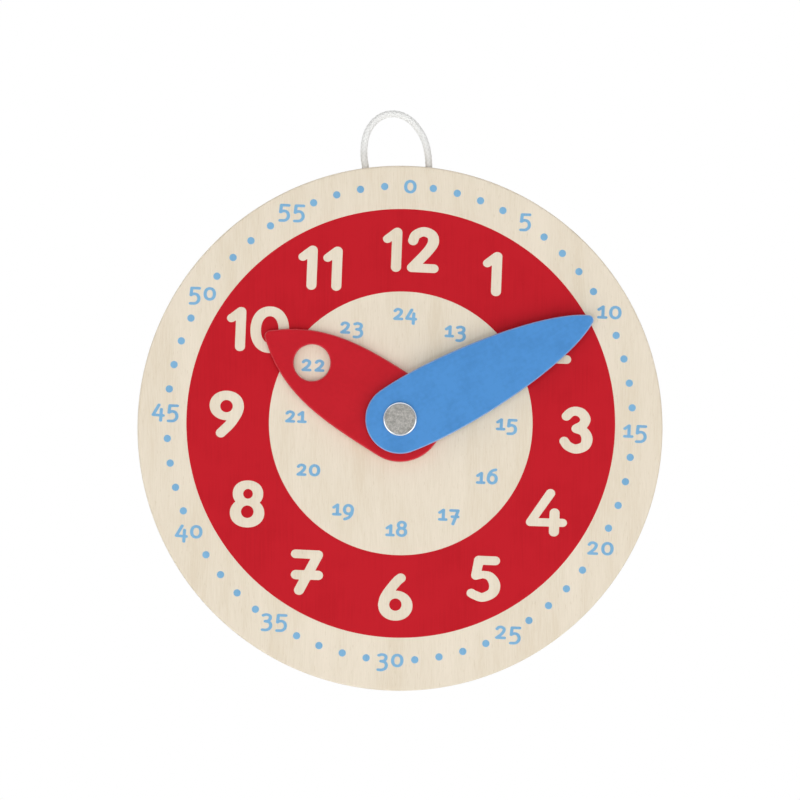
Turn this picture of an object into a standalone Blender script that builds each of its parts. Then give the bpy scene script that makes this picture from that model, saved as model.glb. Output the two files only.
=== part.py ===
"""Round wooden teaching clock with two hands that are turned by hand.

Metres, +Z up. The dial faces -Y and the board's flat back lies on the wall, the plane y = 0.
The origin is on the wall at the nail that carries the cord loop.
"""

import math

import bmesh
import bpy
from mathutils import Vector

# Board: a plywood disc
BOARD_RADIUS = 0.105
BOARD_THICKNESS = 0.006
BOARD_EDGE_RADIUS = 0.0008
BOARD_SIDES = 128

# Printed ring on the dial: its centre lies a little off the board's, and its outer edge stays
# a margin inside the rim
PRINT_SHIFT = 0.0003
PRINT_RISE = 0.00195
BAND_MARGIN = 0.0193
BAND_WIDTH = 0.033

# Hands: both turn on an axis that lies above the board's centre
PIVOT_RISE = 0.0037
HAND_THICKNESS = 0.003
HAND_EDGE_RADIUS = 0.0004
HAND_PLAY = 0.00015

# Hour hand: angles are clockwise from straight up, as the viewer sees the dial
HOUR_CLOCKWISE = math.radians(302.6)
HOUR_LENGTH = 0.0637
HOUR_TAIL_RADIUS = 0.0171
HOUR_TIP_RADIUS = 0.0024
HOUR_FLARE = math.radians(0.5)
HOUR_TIP_TAPER = math.radians(40.0)
HOUR_TAIL_PULL_SHARE = 0.433
HOUR_TIP_PULL_SHARE = 0.359
WINDOW_RADIUS = 0.0073
WINDOW_DISTANCE = 0.0417

# Minute hand
MINUTE_CLOCKWISE = math.radians(62.3)
MINUTE_LENGTH = 0.0868
MINUTE_TAIL_RADIUS = 0.0138
MINUTE_TIP_RADIUS = 0.002
MINUTE_FLARE = math.radians(7.5)
MINUTE_TIP_TAPER = math.radians(33.2)
MINUTE_TAIL_PULL_SHARE = 0.27
MINUTE_TIP_PULL_SHARE = 0.217

# Rivet: a headed post from the front, and a flanged pin pressed into it from the back
HEAD_RADIUS = 0.0065
HEAD_THICKNESS = 0.0015
HEAD_RIM_RADIUS = 0.0005
SHANK_RADIUS = 0.0025
PIN_RADIUS = 0.0013
PIN_LENGTH = 0.008
FLANGE_RADIUS = 0.006
FLANGE_THICKNESS = 0.001
FLANGE_RIM_RADIUS = 0.0003

# Washers and the recess that keeps the rivet below the board's back
WASHER_RADIUS = 0.006
WASHER_THICKNESS = 0.0005
RECESS_CLEARANCE = 0.001
RECESS_MARGIN = 0.0003

# Clearance round a shank, a pin or a cord in its hole, and how far a cutter runs past a face
FIT_GAP = 0.0003
OVERRUN = 0.002

# Cord loop: both ends are glued into blind holes in the board's rim. The route is the part of
# it outside the holes, as places across the board and heights above the board's top.
CORD_DIAMETER = 0.0028
CORD_HOLE_DEPTH = 0.012
LOOP_INSIDE_HEIGHT = 0.019
CORD_POINTS = 32
CORD_BEVEL_RESOLUTION = 2
CORD_ROUTE = (
    (-0.0139, -0.0014),
    (-0.0139, 0.0002),
    (-0.0144, 0.0038),
    (-0.01425, 0.0088),
    (-0.0132, 0.0132),
    (-0.0116, 0.0161),
    (-0.0093, 0.0186),
    (-0.0064, 0.0203),
    (-0.0031, 0.0209),
    (0.0003, 0.0204),
    (0.0035, 0.0188),
    (0.0063, 0.0162),
    (0.0088, 0.0125),
    (0.01035, 0.0087),
    (0.01125, 0.0043),
    (0.01155, 0.0002),
    (0.01155, -0.0014),
)

# How finely round shapes are cut, in counts, and the angle past which an edge is sharp
ROUND_SIDES = 48
DRILL_SIDES = 24
RIM_STEPS = 4
EDGE_STEPS = 3
TAIL_STEPS = 30
SIDE_STEPS = 26
TIP_STEPS = 10
SHARP_ANGLE = math.radians(35.0)
WELD_DISTANCE = 0.000001

# The board's centre hangs this far below the nail
BOARD_DROP = BOARD_RADIUS + LOOP_INSIDE_HEIGHT

# Edges of the printed ring, measured from its own centre
BAND_OUTER_RADIUS = BOARD_RADIUS - BAND_MARGIN
BAND_INNER_RADIUS = BAND_OUTER_RADIUS - BAND_WIDTH

# Places along Y, counted forward from the board's back at zero
BOARD_FRONT = -BOARD_THICKNESS
BOARD_MIDDLE = -BOARD_THICKNESS / 2
RECESS_FLOOR = -(WASHER_THICKNESS + FLANGE_THICKNESS + RECESS_MARGIN)
FLANGE_FRONT = RECESS_FLOOR + WASHER_THICKNESS
HOUR_BACK = BOARD_FRONT - WASHER_THICKNESS - HAND_PLAY
HAND_WASHER_BACK = HOUR_BACK - HAND_THICKNESS - HAND_PLAY
MINUTE_BACK = HAND_WASHER_BACK - WASHER_THICKNESS - HAND_PLAY
HEAD_BACK = MINUTE_BACK - HAND_THICKNESS - HAND_PLAY

# Holes that take their size from what goes through them
SHANK_HOLE_RADIUS = SHANK_RADIUS + FIT_GAP
PIN_HOLE_RADIUS = PIN_RADIUS + FIT_GAP
CORD_HOLE_RADIUS = CORD_DIAMETER / 2 + FIT_GAP
RECESS_RADIUS = max(WASHER_RADIUS, FLANGE_RADIUS) + RECESS_CLEARANCE


def clear_scene():
    """Remove every object that the file opened with."""
    for existing in list(bpy.data.objects):
        bpy.data.objects.remove(existing, do_unlink=True)


def linear_colour(hex_colour):
    """Linear RGBA of an sRGB colour written as six hex digits."""
    channels = [int(hex_colour[i:i + 2], 16) / 255 for i in (0, 2, 4)]
    linear = [c / 12.92 if c <= 0.04045 else ((c + 0.055) / 1.055) ** 2.4 for c in channels]
    return (*linear, 1.0)


def make_material(name, hex_colour, roughness, metallic=0.0):
    """A Principled material of one colour."""
    material = bpy.data.materials.new(name)
    material.use_nodes = True
    shader = material.node_tree.nodes["Principled BSDF"]
    shader.inputs["Base Color"].default_value = linear_colour(hex_colour)
    shader.inputs["Roughness"].default_value = roughness
    shader.inputs["Metallic"].default_value = metallic
    return material


def add_object(name, data, material=None, parent=None, place=(0, 0, 0), turn=0.0):
    """Link mesh or curve data as an object, turned about Y and set at its place."""
    made = bpy.data.objects.new(name, data)
    bpy.context.scene.collection.objects.link(made)
    if material is not None:
        data.materials.append(material)
    made.parent = parent
    made.location = place
    made.rotation_euler = (0.0, turn, 0.0)
    return made


def mesh_from(bm, name):
    """Close the bmesh into mesh data with outward faces and smooth round sides."""
    bmesh.ops.remove_doubles(bm, verts=bm.verts, dist=WELD_DISTANCE)
    bmesh.ops.recalc_face_normals(bm, faces=bm.faces)
    mesh = bpy.data.meshes.new(name)
    bm.to_mesh(mesh)
    bm.free()
    mesh.shade_smooth()
    mesh.set_sharp_from_angle(angle=SHARP_ANGLE)
    return mesh


def turned_mesh(name, profile, sides=ROUND_SIDES):
    """Spin a profile of (radius, y) points about Y. One that starts off the axis is a closed loop."""
    bm = bmesh.new()
    points = [bm.verts.new((radius, y, 0)) for radius, y in profile]
    edges = [bm.edges.new(pair) for pair in zip(points, points[1:])]
    if profile[0][0] > 0:
        edges.append(bm.edges.new((points[-1], points[0])))
    bmesh.ops.spin(
        bm,
        geom=points + edges,
        cent=(0, 0, 0),
        axis=(0, 1, 0),
        angle=2 * math.pi,
        steps=sides,
        use_merge=True,
    )
    return mesh_from(bm, name)


def arc(centre, radius, start, end, steps):
    """Points on an arc, both ends included. Angles run from the first axis to the second."""
    angles = [start + (end - start) * step / steps for step in range(steps + 1)]
    return [(centre[0] + radius * math.cos(a), centre[1] + radius * math.sin(a)) for a in angles]


def bezier(start, start_handle, end_handle, end, steps):
    """Points on a cubic curve, without its two ends."""
    inner = []
    for step in range(1, steps):
        t = step / steps
        weights = ((1 - t) ** 3, 3 * (1 - t) ** 2 * t, 3 * (1 - t) * t ** 2, t ** 3)
        places = (start, start_handle, end_handle, end)
        inner.append(sum((w * p for w, p in zip(weights, places)), Vector((0, 0))))
    return [tuple(point) for point in inner]


def hand_outline(length, tail_radius, tip_radius, flare, taper, tail_pull_share, tip_pull_share):
    """Outline of a hand as (across, along) points about its pivot, tip along the second axis.

    A round tail about the pivot leads into a side that flares out, curves in and meets the round
    tip at its taper angle. The other side is its mirror image.
    """
    tip_centre = (0, length - tip_radius)
    tail = arc((0, 0), tail_radius, -math.pi / 2, -flare, TAIL_STEPS // 2)
    tip = arc(tip_centre, tip_radius, taper, math.pi / 2, TIP_STEPS // 2)
    shoulder = Vector(tail[-1])
    neck = Vector(tip[0])
    reach = (neck - shoulder).length
    tail_handle = shoulder + tail_pull_share * reach * Vector((math.sin(flare), math.cos(flare)))
    tip_handle = neck - tip_pull_share * reach * Vector((-math.sin(taper), math.cos(taper)))
    side = bezier(shoulder, tail_handle, tip_handle, neck, SIDE_STEPS)
    right = tail + side + tip
    left = [(-across, along) for across, along in reversed(right[1:-1])]
    return right + left


def hand_mesh(name, outline):
    """A flat slab of the outline, from its back face at y = 0 forward."""
    bm = bmesh.new()
    back = bm.faces.new([bm.verts.new((across, 0, along)) for across, along in outline])
    grown = bmesh.ops.extrude_face_region(bm, geom=[back])
    front = [item for item in grown["geom"] if isinstance(item, bmesh.types.BMVert)]
    bmesh.ops.translate(bm, verts=front, vec=(0, -HAND_THICKNESS, 0))
    return mesh_from(bm, name)


def add_cutter(name, mesh, parent, place=(0, 0, 0)):
    """A hidden tool shape for a Boolean."""
    cutter = add_object(name, mesh, parent=parent, place=place)
    cutter.hide_render = True
    cutter.display_type = "WIRE"
    return cutter


def cut(target, cutter):
    """Take the cutter's shape out of the target."""
    modifier = target.modifiers.new(cutter.name, "BOOLEAN")
    modifier.operation = "DIFFERENCE"
    modifier.solver = "EXACT"
    modifier.object = cutter


def ease_edges(target, radius):
    """Round the sharp edges that the target has so far."""
    modifier = target.modifiers.new("eased_edges", "BEVEL")
    modifier.limit_method = "ANGLE"
    modifier.angle_limit = SHARP_ANGLE
    modifier.width = radius
    modifier.segments = EDGE_STEPS


def rod_profile(radius, start, end):
    """Turned profile of a plain round rod between two places on its axis."""
    return [(0, start), (radius, start), (radius, end), (0, end)]


def washer_profile():
    """Turned profile of a flat washer round the shank, from its back face at y = 0 forward."""
    return [
        (SHANK_HOLE_RADIUS, 0),
        (WASHER_RADIUS, 0),
        (WASHER_RADIUS, -WASHER_THICKNESS),
        (SHANK_HOLE_RADIUS, -WASHER_THICKNESS),
    ]


def board_mesh():
    """The disc as rings: back edge, front edge, then the two edges of the printed band."""
    rings = (
        (0, 0, BOARD_RADIUS, 0),
        (0, 0, BOARD_RADIUS, BOARD_FRONT),
        (PRINT_SHIFT, PRINT_RISE, BAND_OUTER_RADIUS, BOARD_FRONT),
        (PRINT_SHIFT, PRINT_RISE, BAND_INNER_RADIUS, BOARD_FRONT),
    )
    bm = bmesh.new()
    loops = []
    for shift, rise, radius, y in rings:
        points = arc((shift, rise), radius, 0, 2 * math.pi, BOARD_SIDES)[:-1]
        loops.append([bm.verts.new((x, y, z)) for x, z in points])
    bm.faces.new(loops[0])
    bm.faces.new(loops[-1])
    for inner, outer in zip(loops, loops[1:]):
        for side in range(BOARD_SIDES):
            after = (side + 1) % BOARD_SIDES
            face = bm.faces.new((inner[side], inner[after], outer[after], outer[side]))
            face.material_index = 1 if outer is loops[-1] else 0
    return mesh_from(bm, "dial_board")


def rim_height(across):
    """Height of the board's rim above its centre, at a distance across."""
    return math.sqrt(BOARD_RADIUS ** 2 - across ** 2)


def make_board(wood, ink, centre, pivot):
    """The board with the rivet's hole and recess, and a blind hole for each cord end."""
    board = add_object("dial_board", board_mesh(), wood, centre)
    board.data.materials.append(ink)
    ease_edges(board, BOARD_EDGE_RADIUS)
    rivet_hole = [
        (0, BOARD_FRONT - OVERRUN),
        (SHANK_HOLE_RADIUS, BOARD_FRONT - OVERRUN),
        (SHANK_HOLE_RADIUS, RECESS_FLOOR),
        (RECESS_RADIUS, RECESS_FLOOR),
        (RECESS_RADIUS, OVERRUN),
        (0, OVERRUN),
    ]
    cut(board, add_cutter("rivet_hole_cutter", turned_mesh("rivet_hole", rivet_hole), pivot))
    drill_length = CORD_HOLE_DEPTH + OVERRUN
    drill = turned_mesh("cord_hole", rod_profile(CORD_HOLE_RADIUS, 0, drill_length), DRILL_SIDES)
    for name, mouth in (("left_cord_cutter", CORD_ROUTE[0]), ("right_cord_cutter", CORD_ROUTE[-1])):
        across = mouth[0]
        floor = rim_height(across) - CORD_HOLE_DEPTH
        cutter = add_cutter(name, drill, centre, (across, BOARD_MIDDLE, floor))
        cutter.rotation_euler = (math.pi / 2, 0.0, 0.0)
        cut(board, cutter)


def drill_hand(hand, name, radius, distance):
    """A round hole through a hand, at a distance from its pivot."""
    rod = rod_profile(radius, -HAND_THICKNESS - OVERRUN, OVERRUN)
    cut(hand, add_cutter(name + "_cutter", turned_mesh(name, rod), hand, (0, 0, distance)))


def make_hour_hand(paint, pivot):
    """The lower hand, a pointed leaf with a round window that frames the afternoon hours."""
    outline = hand_outline(
        HOUR_LENGTH,
        HOUR_TAIL_RADIUS,
        HOUR_TIP_RADIUS,
        HOUR_FLARE,
        HOUR_TIP_TAPER,
        HOUR_TAIL_PULL_SHARE,
        HOUR_TIP_PULL_SHARE,
    )
    mesh = hand_mesh("hour_hand", outline)
    hand = add_object("hour_hand", mesh, paint, pivot, (0, HOUR_BACK, 0), HOUR_CLOCKWISE)
    drill_hand(hand, "window", WINDOW_RADIUS, WINDOW_DISTANCE)
    ease_edges(hand, HAND_EDGE_RADIUS)
    drill_hand(hand, "hour_bore", SHANK_HOLE_RADIUS, 0)


def make_minute_hand(paint, pivot):
    """The upper hand, a long tongue that reaches the minute dots."""
    outline = hand_outline(
        MINUTE_LENGTH,
        MINUTE_TAIL_RADIUS,
        MINUTE_TIP_RADIUS,
        MINUTE_FLARE,
        MINUTE_TIP_TAPER,
        MINUTE_TAIL_PULL_SHARE,
        MINUTE_TIP_PULL_SHARE,
    )
    mesh = hand_mesh("minute_hand", outline)
    hand = add_object("minute_hand", mesh, paint, pivot, (0, MINUTE_BACK, 0), MINUTE_CLOCKWISE)
    ease_edges(hand, HAND_EDGE_RADIUS)
    drill_hand(hand, "minute_bore", SHANK_HOLE_RADIUS, 0)


def make_rivet(steel, pivot):
    """The front post with its bored shank, and the pin that closes it in the recess."""
    shank_end = FLANGE_FRONT - FIT_GAP - HEAD_BACK
    bore_floor = FLANGE_FRONT - PIN_LENGTH - FIT_GAP - HEAD_BACK
    rim_centre = (HEAD_RADIUS - HEAD_RIM_RADIUS, HEAD_RIM_RADIUS - HEAD_THICKNESS)
    post = [
        (0, -HEAD_THICKNESS),
        *arc(rim_centre, HEAD_RIM_RADIUS, -math.pi / 2, 0, RIM_STEPS),
        (HEAD_RADIUS, 0),
        (SHANK_RADIUS, 0),
        (SHANK_RADIUS, shank_end),
        (PIN_HOLE_RADIUS, shank_end),
        (PIN_HOLE_RADIUS, bore_floor),
        (0, bore_floor),
    ]
    add_object("rivet_post", turned_mesh("rivet_post", post), steel, pivot, (0, HEAD_BACK, 0))
    flange_centre = (FLANGE_RADIUS - FLANGE_RIM_RADIUS, FLANGE_THICKNESS - FLANGE_RIM_RADIUS)
    pin = [
        (0, -PIN_LENGTH),
        (PIN_RADIUS, -PIN_LENGTH),
        (PIN_RADIUS, 0),
        (FLANGE_RADIUS, 0),
        *arc(flange_centre, FLANGE_RIM_RADIUS, 0, math.pi / 2, RIM_STEPS),
        (0, FLANGE_THICKNESS),
    ]
    add_object("rivet_pin", turned_mesh("rivet_pin", pin), steel, pivot, (0, FLANGE_FRONT, 0))


def make_washers(nylon, pivot):
    """Flat washers on the shank: behind the hour hand, between the hands and in the recess."""
    places = (
        ("board_washer", BOARD_FRONT),
        ("hand_washer", HAND_WASHER_BACK),
        ("back_washer", FLANGE_FRONT),
    )
    for name, back in places:
        add_object(name, turned_mesh(name, washer_profile()), nylon, pivot, (0, back, 0))


def smooth_route(route, count):
    """Evenly spaced points on a smooth curve through the route's own points (Catmull-Rom)."""
    points = [Vector(place) for place in route]
    padded = [2 * points[0] - points[1], *points, 2 * points[-1] - points[-2]]
    fine = []
    for before, start, end, after in zip(padded, padded[1:], padded[2:], padded[3:]):
        for step in range(count):
            t = step / count
            fine.append(
                0.5 * (2 * start + (end - before) * t
                       + (2 * before - 5 * start + 4 * end - after) * t ** 2
                       + (3 * start - before - 3 * end + after) * t ** 3)
            )
    fine.append(points[-1])
    lengths = [0.0]
    for here, there in zip(fine, fine[1:]):
        lengths.append(lengths[-1] + (there - here).length)
    even = []
    index = 0
    for number in range(count):
        wanted = lengths[-1] * number / (count - 1)
        while index < len(lengths) - 2 and lengths[index + 1] < wanted:
            index += 1
        share = (wanted - lengths[index]) / (lengths[index + 1] - lengths[index])
        even.append(fine[index].lerp(fine[index + 1], share))
    return even


def make_cord(braid, centre):
    """The cord loop, from the floor of one blind hole round to the other's."""
    outside = [(across, BOARD_RADIUS + height) for across, height in CORD_ROUTE]
    ends = [
        (across, rim_height(across) - CORD_HOLE_DEPTH + FIT_GAP)
        for across, _ in (CORD_ROUTE[0], CORD_ROUTE[-1])
    ]
    route = [ends[0], *outside, ends[-1]]
    curve = bpy.data.curves.new("hanging_cord", "CURVE")
    curve.dimensions = "3D"
    curve.bevel_depth = CORD_DIAMETER / 2
    curve.bevel_resolution = CORD_BEVEL_RESOLUTION
    curve.use_fill_caps = True
    spline = curve.splines.new("POLY")
    spline.points.add(CORD_POINTS - 1)
    for point, (x, z) in zip(spline.points, smooth_route(route, CORD_POINTS)):
        point.co = (x, BOARD_MIDDLE, z, 1.0)
    spline.use_smooth = True
    add_object("hanging_cord", curve, braid, centre)


def main():
    """Build every piece of the clock."""
    clear_scene()
    centre = add_object("board_centre", None, place=(0, 0, -BOARD_DROP))
    pivot = add_object("pivot_axis", None, parent=centre, place=(0, 0, PIVOT_RISE))

    wood = make_material("pale_birch_plywood", "E6DCC8", 0.62)
    red_ink = make_material("red_screen_ink", "C5212D", 0.5)
    red_paint = make_material("red_paint", "C4202A", 0.45)
    blue_paint = make_material("blue_paint", "5592D3", 0.45)
    steel = make_material("nickel_plated_steel", "B4B0AB", 0.38, 1.0)
    nylon = make_material("natural_nylon", "E4E2DC", 0.5)
    braid = make_material("white_braided_cord", "ECECEA", 0.85)

    make_board(wood, red_ink, centre, pivot)
    make_hour_hand(red_paint, pivot)
    make_minute_hand(blue_paint, pivot)
    make_rivet(steel, pivot)
    make_washers(nylon, pivot)
    make_cord(braid, centre)
    bpy.context.view_layer.update()


main()
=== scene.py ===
"""The looks of a round wooden teaching clock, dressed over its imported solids.

All lengths are metres in the clock's own frame: the nail that carries the cord loop is the
origin, +Z is up, the dial faces -Y and the board's flat back lies in the plane y = 0.
Figures are drawn in millimetres about the middle of the print, right and up.
"""

import logging
import math
from dataclasses import dataclass, field
from enum import Enum

import bpy
import numpy as np
from mathutils import Matrix, Vector
from mathutils.geometry import delaunay_2d_cdt


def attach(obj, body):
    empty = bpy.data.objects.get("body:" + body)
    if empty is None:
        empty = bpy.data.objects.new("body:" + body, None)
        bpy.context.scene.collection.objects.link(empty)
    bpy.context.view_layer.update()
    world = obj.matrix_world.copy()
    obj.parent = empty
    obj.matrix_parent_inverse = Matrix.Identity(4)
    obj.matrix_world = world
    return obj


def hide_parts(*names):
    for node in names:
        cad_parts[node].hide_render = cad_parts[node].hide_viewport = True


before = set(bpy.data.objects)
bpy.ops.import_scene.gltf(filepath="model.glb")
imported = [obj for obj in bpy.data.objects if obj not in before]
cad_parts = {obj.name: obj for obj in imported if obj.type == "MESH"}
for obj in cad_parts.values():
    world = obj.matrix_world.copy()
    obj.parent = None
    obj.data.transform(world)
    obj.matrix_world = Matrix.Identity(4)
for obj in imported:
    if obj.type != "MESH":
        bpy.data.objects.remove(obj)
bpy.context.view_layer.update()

log = logging.getLogger("teaching_clock")

Tree = bpy.types.NodeTree
Socket = bpy.types.NodeSocket
Object = bpy.types.Object

WHITE = (1.0, 1.0, 1.0, 1.0)
MM = 0.001

# A flat face has a ring of points this far inside its eased edge, which keeps its shading flat.
HAIR = 0.05 * MM
# The number of points across an eased edge, and the degrees past which an edge is shaded sharp.
EASE_STEPS = 7
SHARP = 32.0

# Where the hands point: degrees clockwise from straight up, for ten past ten.
HOUR_CLOCKWISE = 302.6
MINUTE_CLOCKWISE = 62.3

# Middles in the dial's plane, x and z, and the print's clockwise turn.
PIVOT = (0.0, -0.1203)
BOARD_CENTRE = (0.0, -0.124)
PRINT_CENTRE = (0.0003, -0.12205)
PRINT_TURN = math.radians(2.3)


class Body(Enum):
    """The bodies that move on their own, by their names in the record."""

    CLOCK = "clock_body"
    HOUR = "hour_hand"
    MINUTE = "minute_hand"


class Slot(Enum):
    """The record's material slots."""

    BIRCH = "birch_plywood"
    RED = "red_paint"
    BLUE = "blue_paint"
    STEEL = "rivet_steel"
    NYLON = "nylon"
    CORD = "braided_cord"


# ---------------------------------------------------------------- colour and nodes


def linear(code: str) -> tuple[float, float, float, float]:
    """Turns an sRGB hex colour to linear light.

    Args:
        code: six hex digits after a hash sign.

    Returns:
        Red, green, blue and an alpha of 1.
    """
    parts = [int(code[i:i + 2], 16) / 255 for i in (1, 3, 5)]
    light = [p / 12.92 if p <= 0.04045 else ((p + 0.055) / 1.055) ** 2.4 for p in parts]
    return light[0], light[1], light[2], 1.0


def fill_ramp(ramp: bpy.types.ColorRamp, stops: list[tuple[float, str]]) -> None:
    """Sets a colour ramp's stops.

    Args:
        ramp: the ramp.
        stops: place and hex colour of each stop, in rising order.
    """
    while len(ramp.elements) > 1:
        ramp.elements.remove(ramp.elements[-1])
    ramp.elements[0].position = stops[0][0]
    ramp.elements[0].color = linear(stops[0][1])
    for place, code in stops[1:]:
        ramp.elements.new(place).color = linear(code)


def add(tree: Tree, kind: str, values: dict | None = None, out: int | str = 0) -> Socket | None:
    """Adds one shader node, sets it up and links it.

    Args:
        tree: the node tree that gets the node.
        kind: the node's type name, without ShaderNode before it.
        values: its properties by name, and its inputs by name or number. A socket is linked to
            its input, anything else is set there, and "stops" fills a colour ramp.
        out: the name or number of the output that is wanted.

    Returns:
        That output, or None for a node without outputs.
    """
    node = tree.nodes.new(f"ShaderNode{kind}")
    for key, value in (values or {}).items():
        if key == "stops":
            fill_ramp(node.color_ramp, value)
        elif isinstance(value, Socket):
            tree.links.new(value, node.inputs[key])
        elif isinstance(key, str) and hasattr(node, key):
            setattr(node, key, value)
        else:
            node.inputs[key].default_value = value
    return node.outputs[out] if node.outputs else None


def background_rays(tree: Tree, mirrors: bool) -> Socket:
    """Adds the test for rays that show a background as it is seen.

    Args:
        tree: the node tree of the world or of a background's material.
        mirrors: whether rays from shiny faces are among them, beside camera and glass rays.

    Returns:
        The test: 1 for those rays and 0 for others.
    """
    rays = add(tree, "LightPath").node.outputs
    test = rays["Is Camera Ray"]
    for name in ("Is Transmission Ray", "Is Glossy Ray")[:2 if mirrors else 1]:
        test = add(tree, "Math", {"operation": "MAXIMUM", 0: test, 1: rays[name]})
    return test


# ---------------------------------------------------------------- finishes


class Finish:
    """A finish that fills a new material with its own nodes.

    Its scales are bumps a metre; three are those across, through and up the clock or a hand.
    """

    name: str

    def shader(self, tree: Tree, place: Socket) -> Socket:
        """Adds the finish's nodes, from the place on the clock to its shader.

        Args:
            tree: the material's node tree.
            place: the place on the clock.

        Returns:
            The finished shader.
        """
        raise NotImplementedError

    def build(self) -> bpy.types.Material:
        """Builds the material.

        Returns:
            The finished material.
        """
        material = bpy.data.materials.new(self.name)
        material.use_nodes = True
        tree = material.node_tree
        tree.nodes.clear()
        place = add(tree, "TexCoord", out="Object")
        add(tree, "OutputMaterial", {"Surface": self.shader(tree, place)})
        return material


@dataclass(frozen=True)
class BirchPlywood(Finish):
    """Sanded, unvarnished birch plywood: pale cream veneer whose fine fibres run up the dial,
    with faint bands and short pores, and the glued plies showing round the rim.

    Fibres are 0.45 mm wide and 7 mm long, bands 9 mm wide and 60 mm long, and pores 0.35 mm
    wide and 2.5 mm long. A glue line is 0.1 mm; it is drawn 0.14 mm wide so that it shows.
    """

    name: str = "birch_plywood_sanded"
    pale: str = "#EEE2CF"
    usual: str = "#E9DDC9"
    brown: str = "#E3D5BE"
    pore: str = "#D3C3A8"
    long_ply: str = "#E0CFAF"
    end_ply: str = "#B8986C"
    speck: str = "#A89880"
    clear: str = "#FFFFFF"
    glue: str = "#7C6044"
    thickness: float = 0.006
    plies: float = 5.0
    fibre_scale: tuple[float, float, float] = (2200.0, 2200.0, 140.0)
    band_scale: tuple[float, float, float] = (110.0, 110.0, 16.0)
    pore_scale: tuple[float, float, float] = (2800.0, 2800.0, 400.0)
    bend_scale: float = 14.0
    bend: float = 0.006
    speck_scale: float = 2600.0

    def shader(self, tree: Tree, place: Socket) -> Socket:
        """Mixes the veneer and the plies by how far the surface faces +-Y.

        Args:
            tree: the material's node tree.
            place: the place on the clock.

        Returns:
            The finished shader.
        """
        bends = add(
            tree, "TexNoise", {"Scale": self.bend_scale, "Detail": 2.0, "Vector": place}, "Color"
        )
        bent = add(
            tree, "VectorMath",
            {"operation": "MULTIPLY_ADD", 0: bends, 1: (self.bend, 0.0, 0.0), 2: place},
        )
        fibre, band, pore = (
            add(tree, "TexNoise", {
                "Scale": 1.0, "Detail": detail, "Roughness": rough,
                "Vector": add(tree, "Mapping", {"Scale": scale, "Vector": source}),
            })
            for source, scale, detail, rough in (
                (bent, self.fibre_scale, 3.0, 0.6), (bent, self.band_scale, 4.0, 0.55),
                (place, self.pore_scale, 1.0, 0.5),
            )
        )
        grain = add(tree, "Mix", {"data_type": "FLOAT", 0: 0.45, 2: band, 3: fibre})
        face = add(tree, "ValToRGB", {
            "Fac": grain, "stops": [(0.36, self.brown), (0.5, self.usual), (0.64, self.pale)],
        })
        pitted = add(
            tree, "MapRange", {"From Min": 0.66, "From Max": 0.78, "To Max": 0.55, "Value": pore}
        )
        face = add(
            tree, "Mix", {"data_type": "RGBA", 0: pitted, 6: face, 7: linear(self.pore)}, 2
        )
        facing = add(
            tree, "SeparateXYZ", {0: add(tree, "NewGeometry", out="True Normal")}
        ).node.outputs
        edge = self.rim_colour(tree, place, facing["Z"])
        flat = add(tree, "MapRange", {
            "From Min": 0.12, "From Max": 0.3,
            "Value": add(tree, "Math", {"operation": "ABSOLUTE", 0: facing["Y"]}),
        })
        return add(tree, "BsdfPrincipled", {
            "IOR": 1.45,
            "Base Color": add(tree, "Mix", {"data_type": "RGBA", 0: flat, 6: edge, 7: face}, 2),
            "Roughness": add(tree, "MapRange", {"To Min": 0.5, "To Max": 0.68, "Value": fibre}),
            "Normal": add(tree, "Bump", {"Strength": 0.35, "Distance": 0.00006, "Height": grain}),
        })

    def rim_colour(self, tree: Tree, place: Socket, upward: Socket) -> Socket:
        """Adds the plies and glue lines that show round the rim.

        Odd plies run up the dial as the face does, even ones across it, so that a ply shows its
        ends by the difference of its own turn and the square of the surface's upward share.

        Args:
            tree: the material's node tree.
            place: the place on the clock.
            upward: the Z share of the surface's direction.

        Returns:
            The rim's colour.
        """
        depth = add(tree, "Math", {
            "operation": "DIVIDE", 0: add(tree, "SeparateXYZ", {0: place}, "Y"), 1: -self.thickness,
        })
        ply = add(tree, "Math", {"operation": "MULTIPLY", 0: depth, 1: self.plies})
        whole = add(tree, "Math", {"operation": "FLOOR", 0: ply})
        crosswise = add(tree, "Math", {"operation": "MODULO", 0: whole, 1: 2.0})
        steep = add(tree, "Math", {"operation": "ABSOLUTE", 0: upward})
        upright = add(tree, "Math", {"operation": "POWER", 0: steep, 1: 2.0})
        turned = add(tree, "Math", {"operation": "SUBTRACT", 0: upright, 1: crosswise})
        colour = add(tree, "Mix", {
            "data_type": "RGBA", 0: add(tree, "Math", {"operation": "ABSOLUTE", 0: turned}),
            6: linear(self.long_ply), 7: linear(self.end_ply),
        }, 2)
        specks = add(tree, "TexNoise", {"Scale": self.speck_scale, "Detail": 3.0, "Vector": place})
        colour = add(tree, "Mix", {
            "data_type": "RGBA", "blend_type": "MULTIPLY", 0: 0.35, 6: colour,
            7: add(tree, "ValToRGB", {
                "Fac": specks, "stops": [(0.35, self.speck), (0.65, self.clear)],
            }),
        }, 2)
        within = add(tree, "Math", {"operation": "FRACT", 0: ply})
        off_line = add(tree, "Math", {"operation": "PINGPONG", 0: within, 1: 0.5})
        line = add(tree, "MapRange", {
            "From Min": 0.05, "From Max": 0.09, "To Min": 0.8, "To Max": 0.0, "Value": off_line,
        })
        return add(tree, "Mix", {"data_type": "RGBA", 0: line, 6: colour, 7: linear(self.glue)}, 2)


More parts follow.
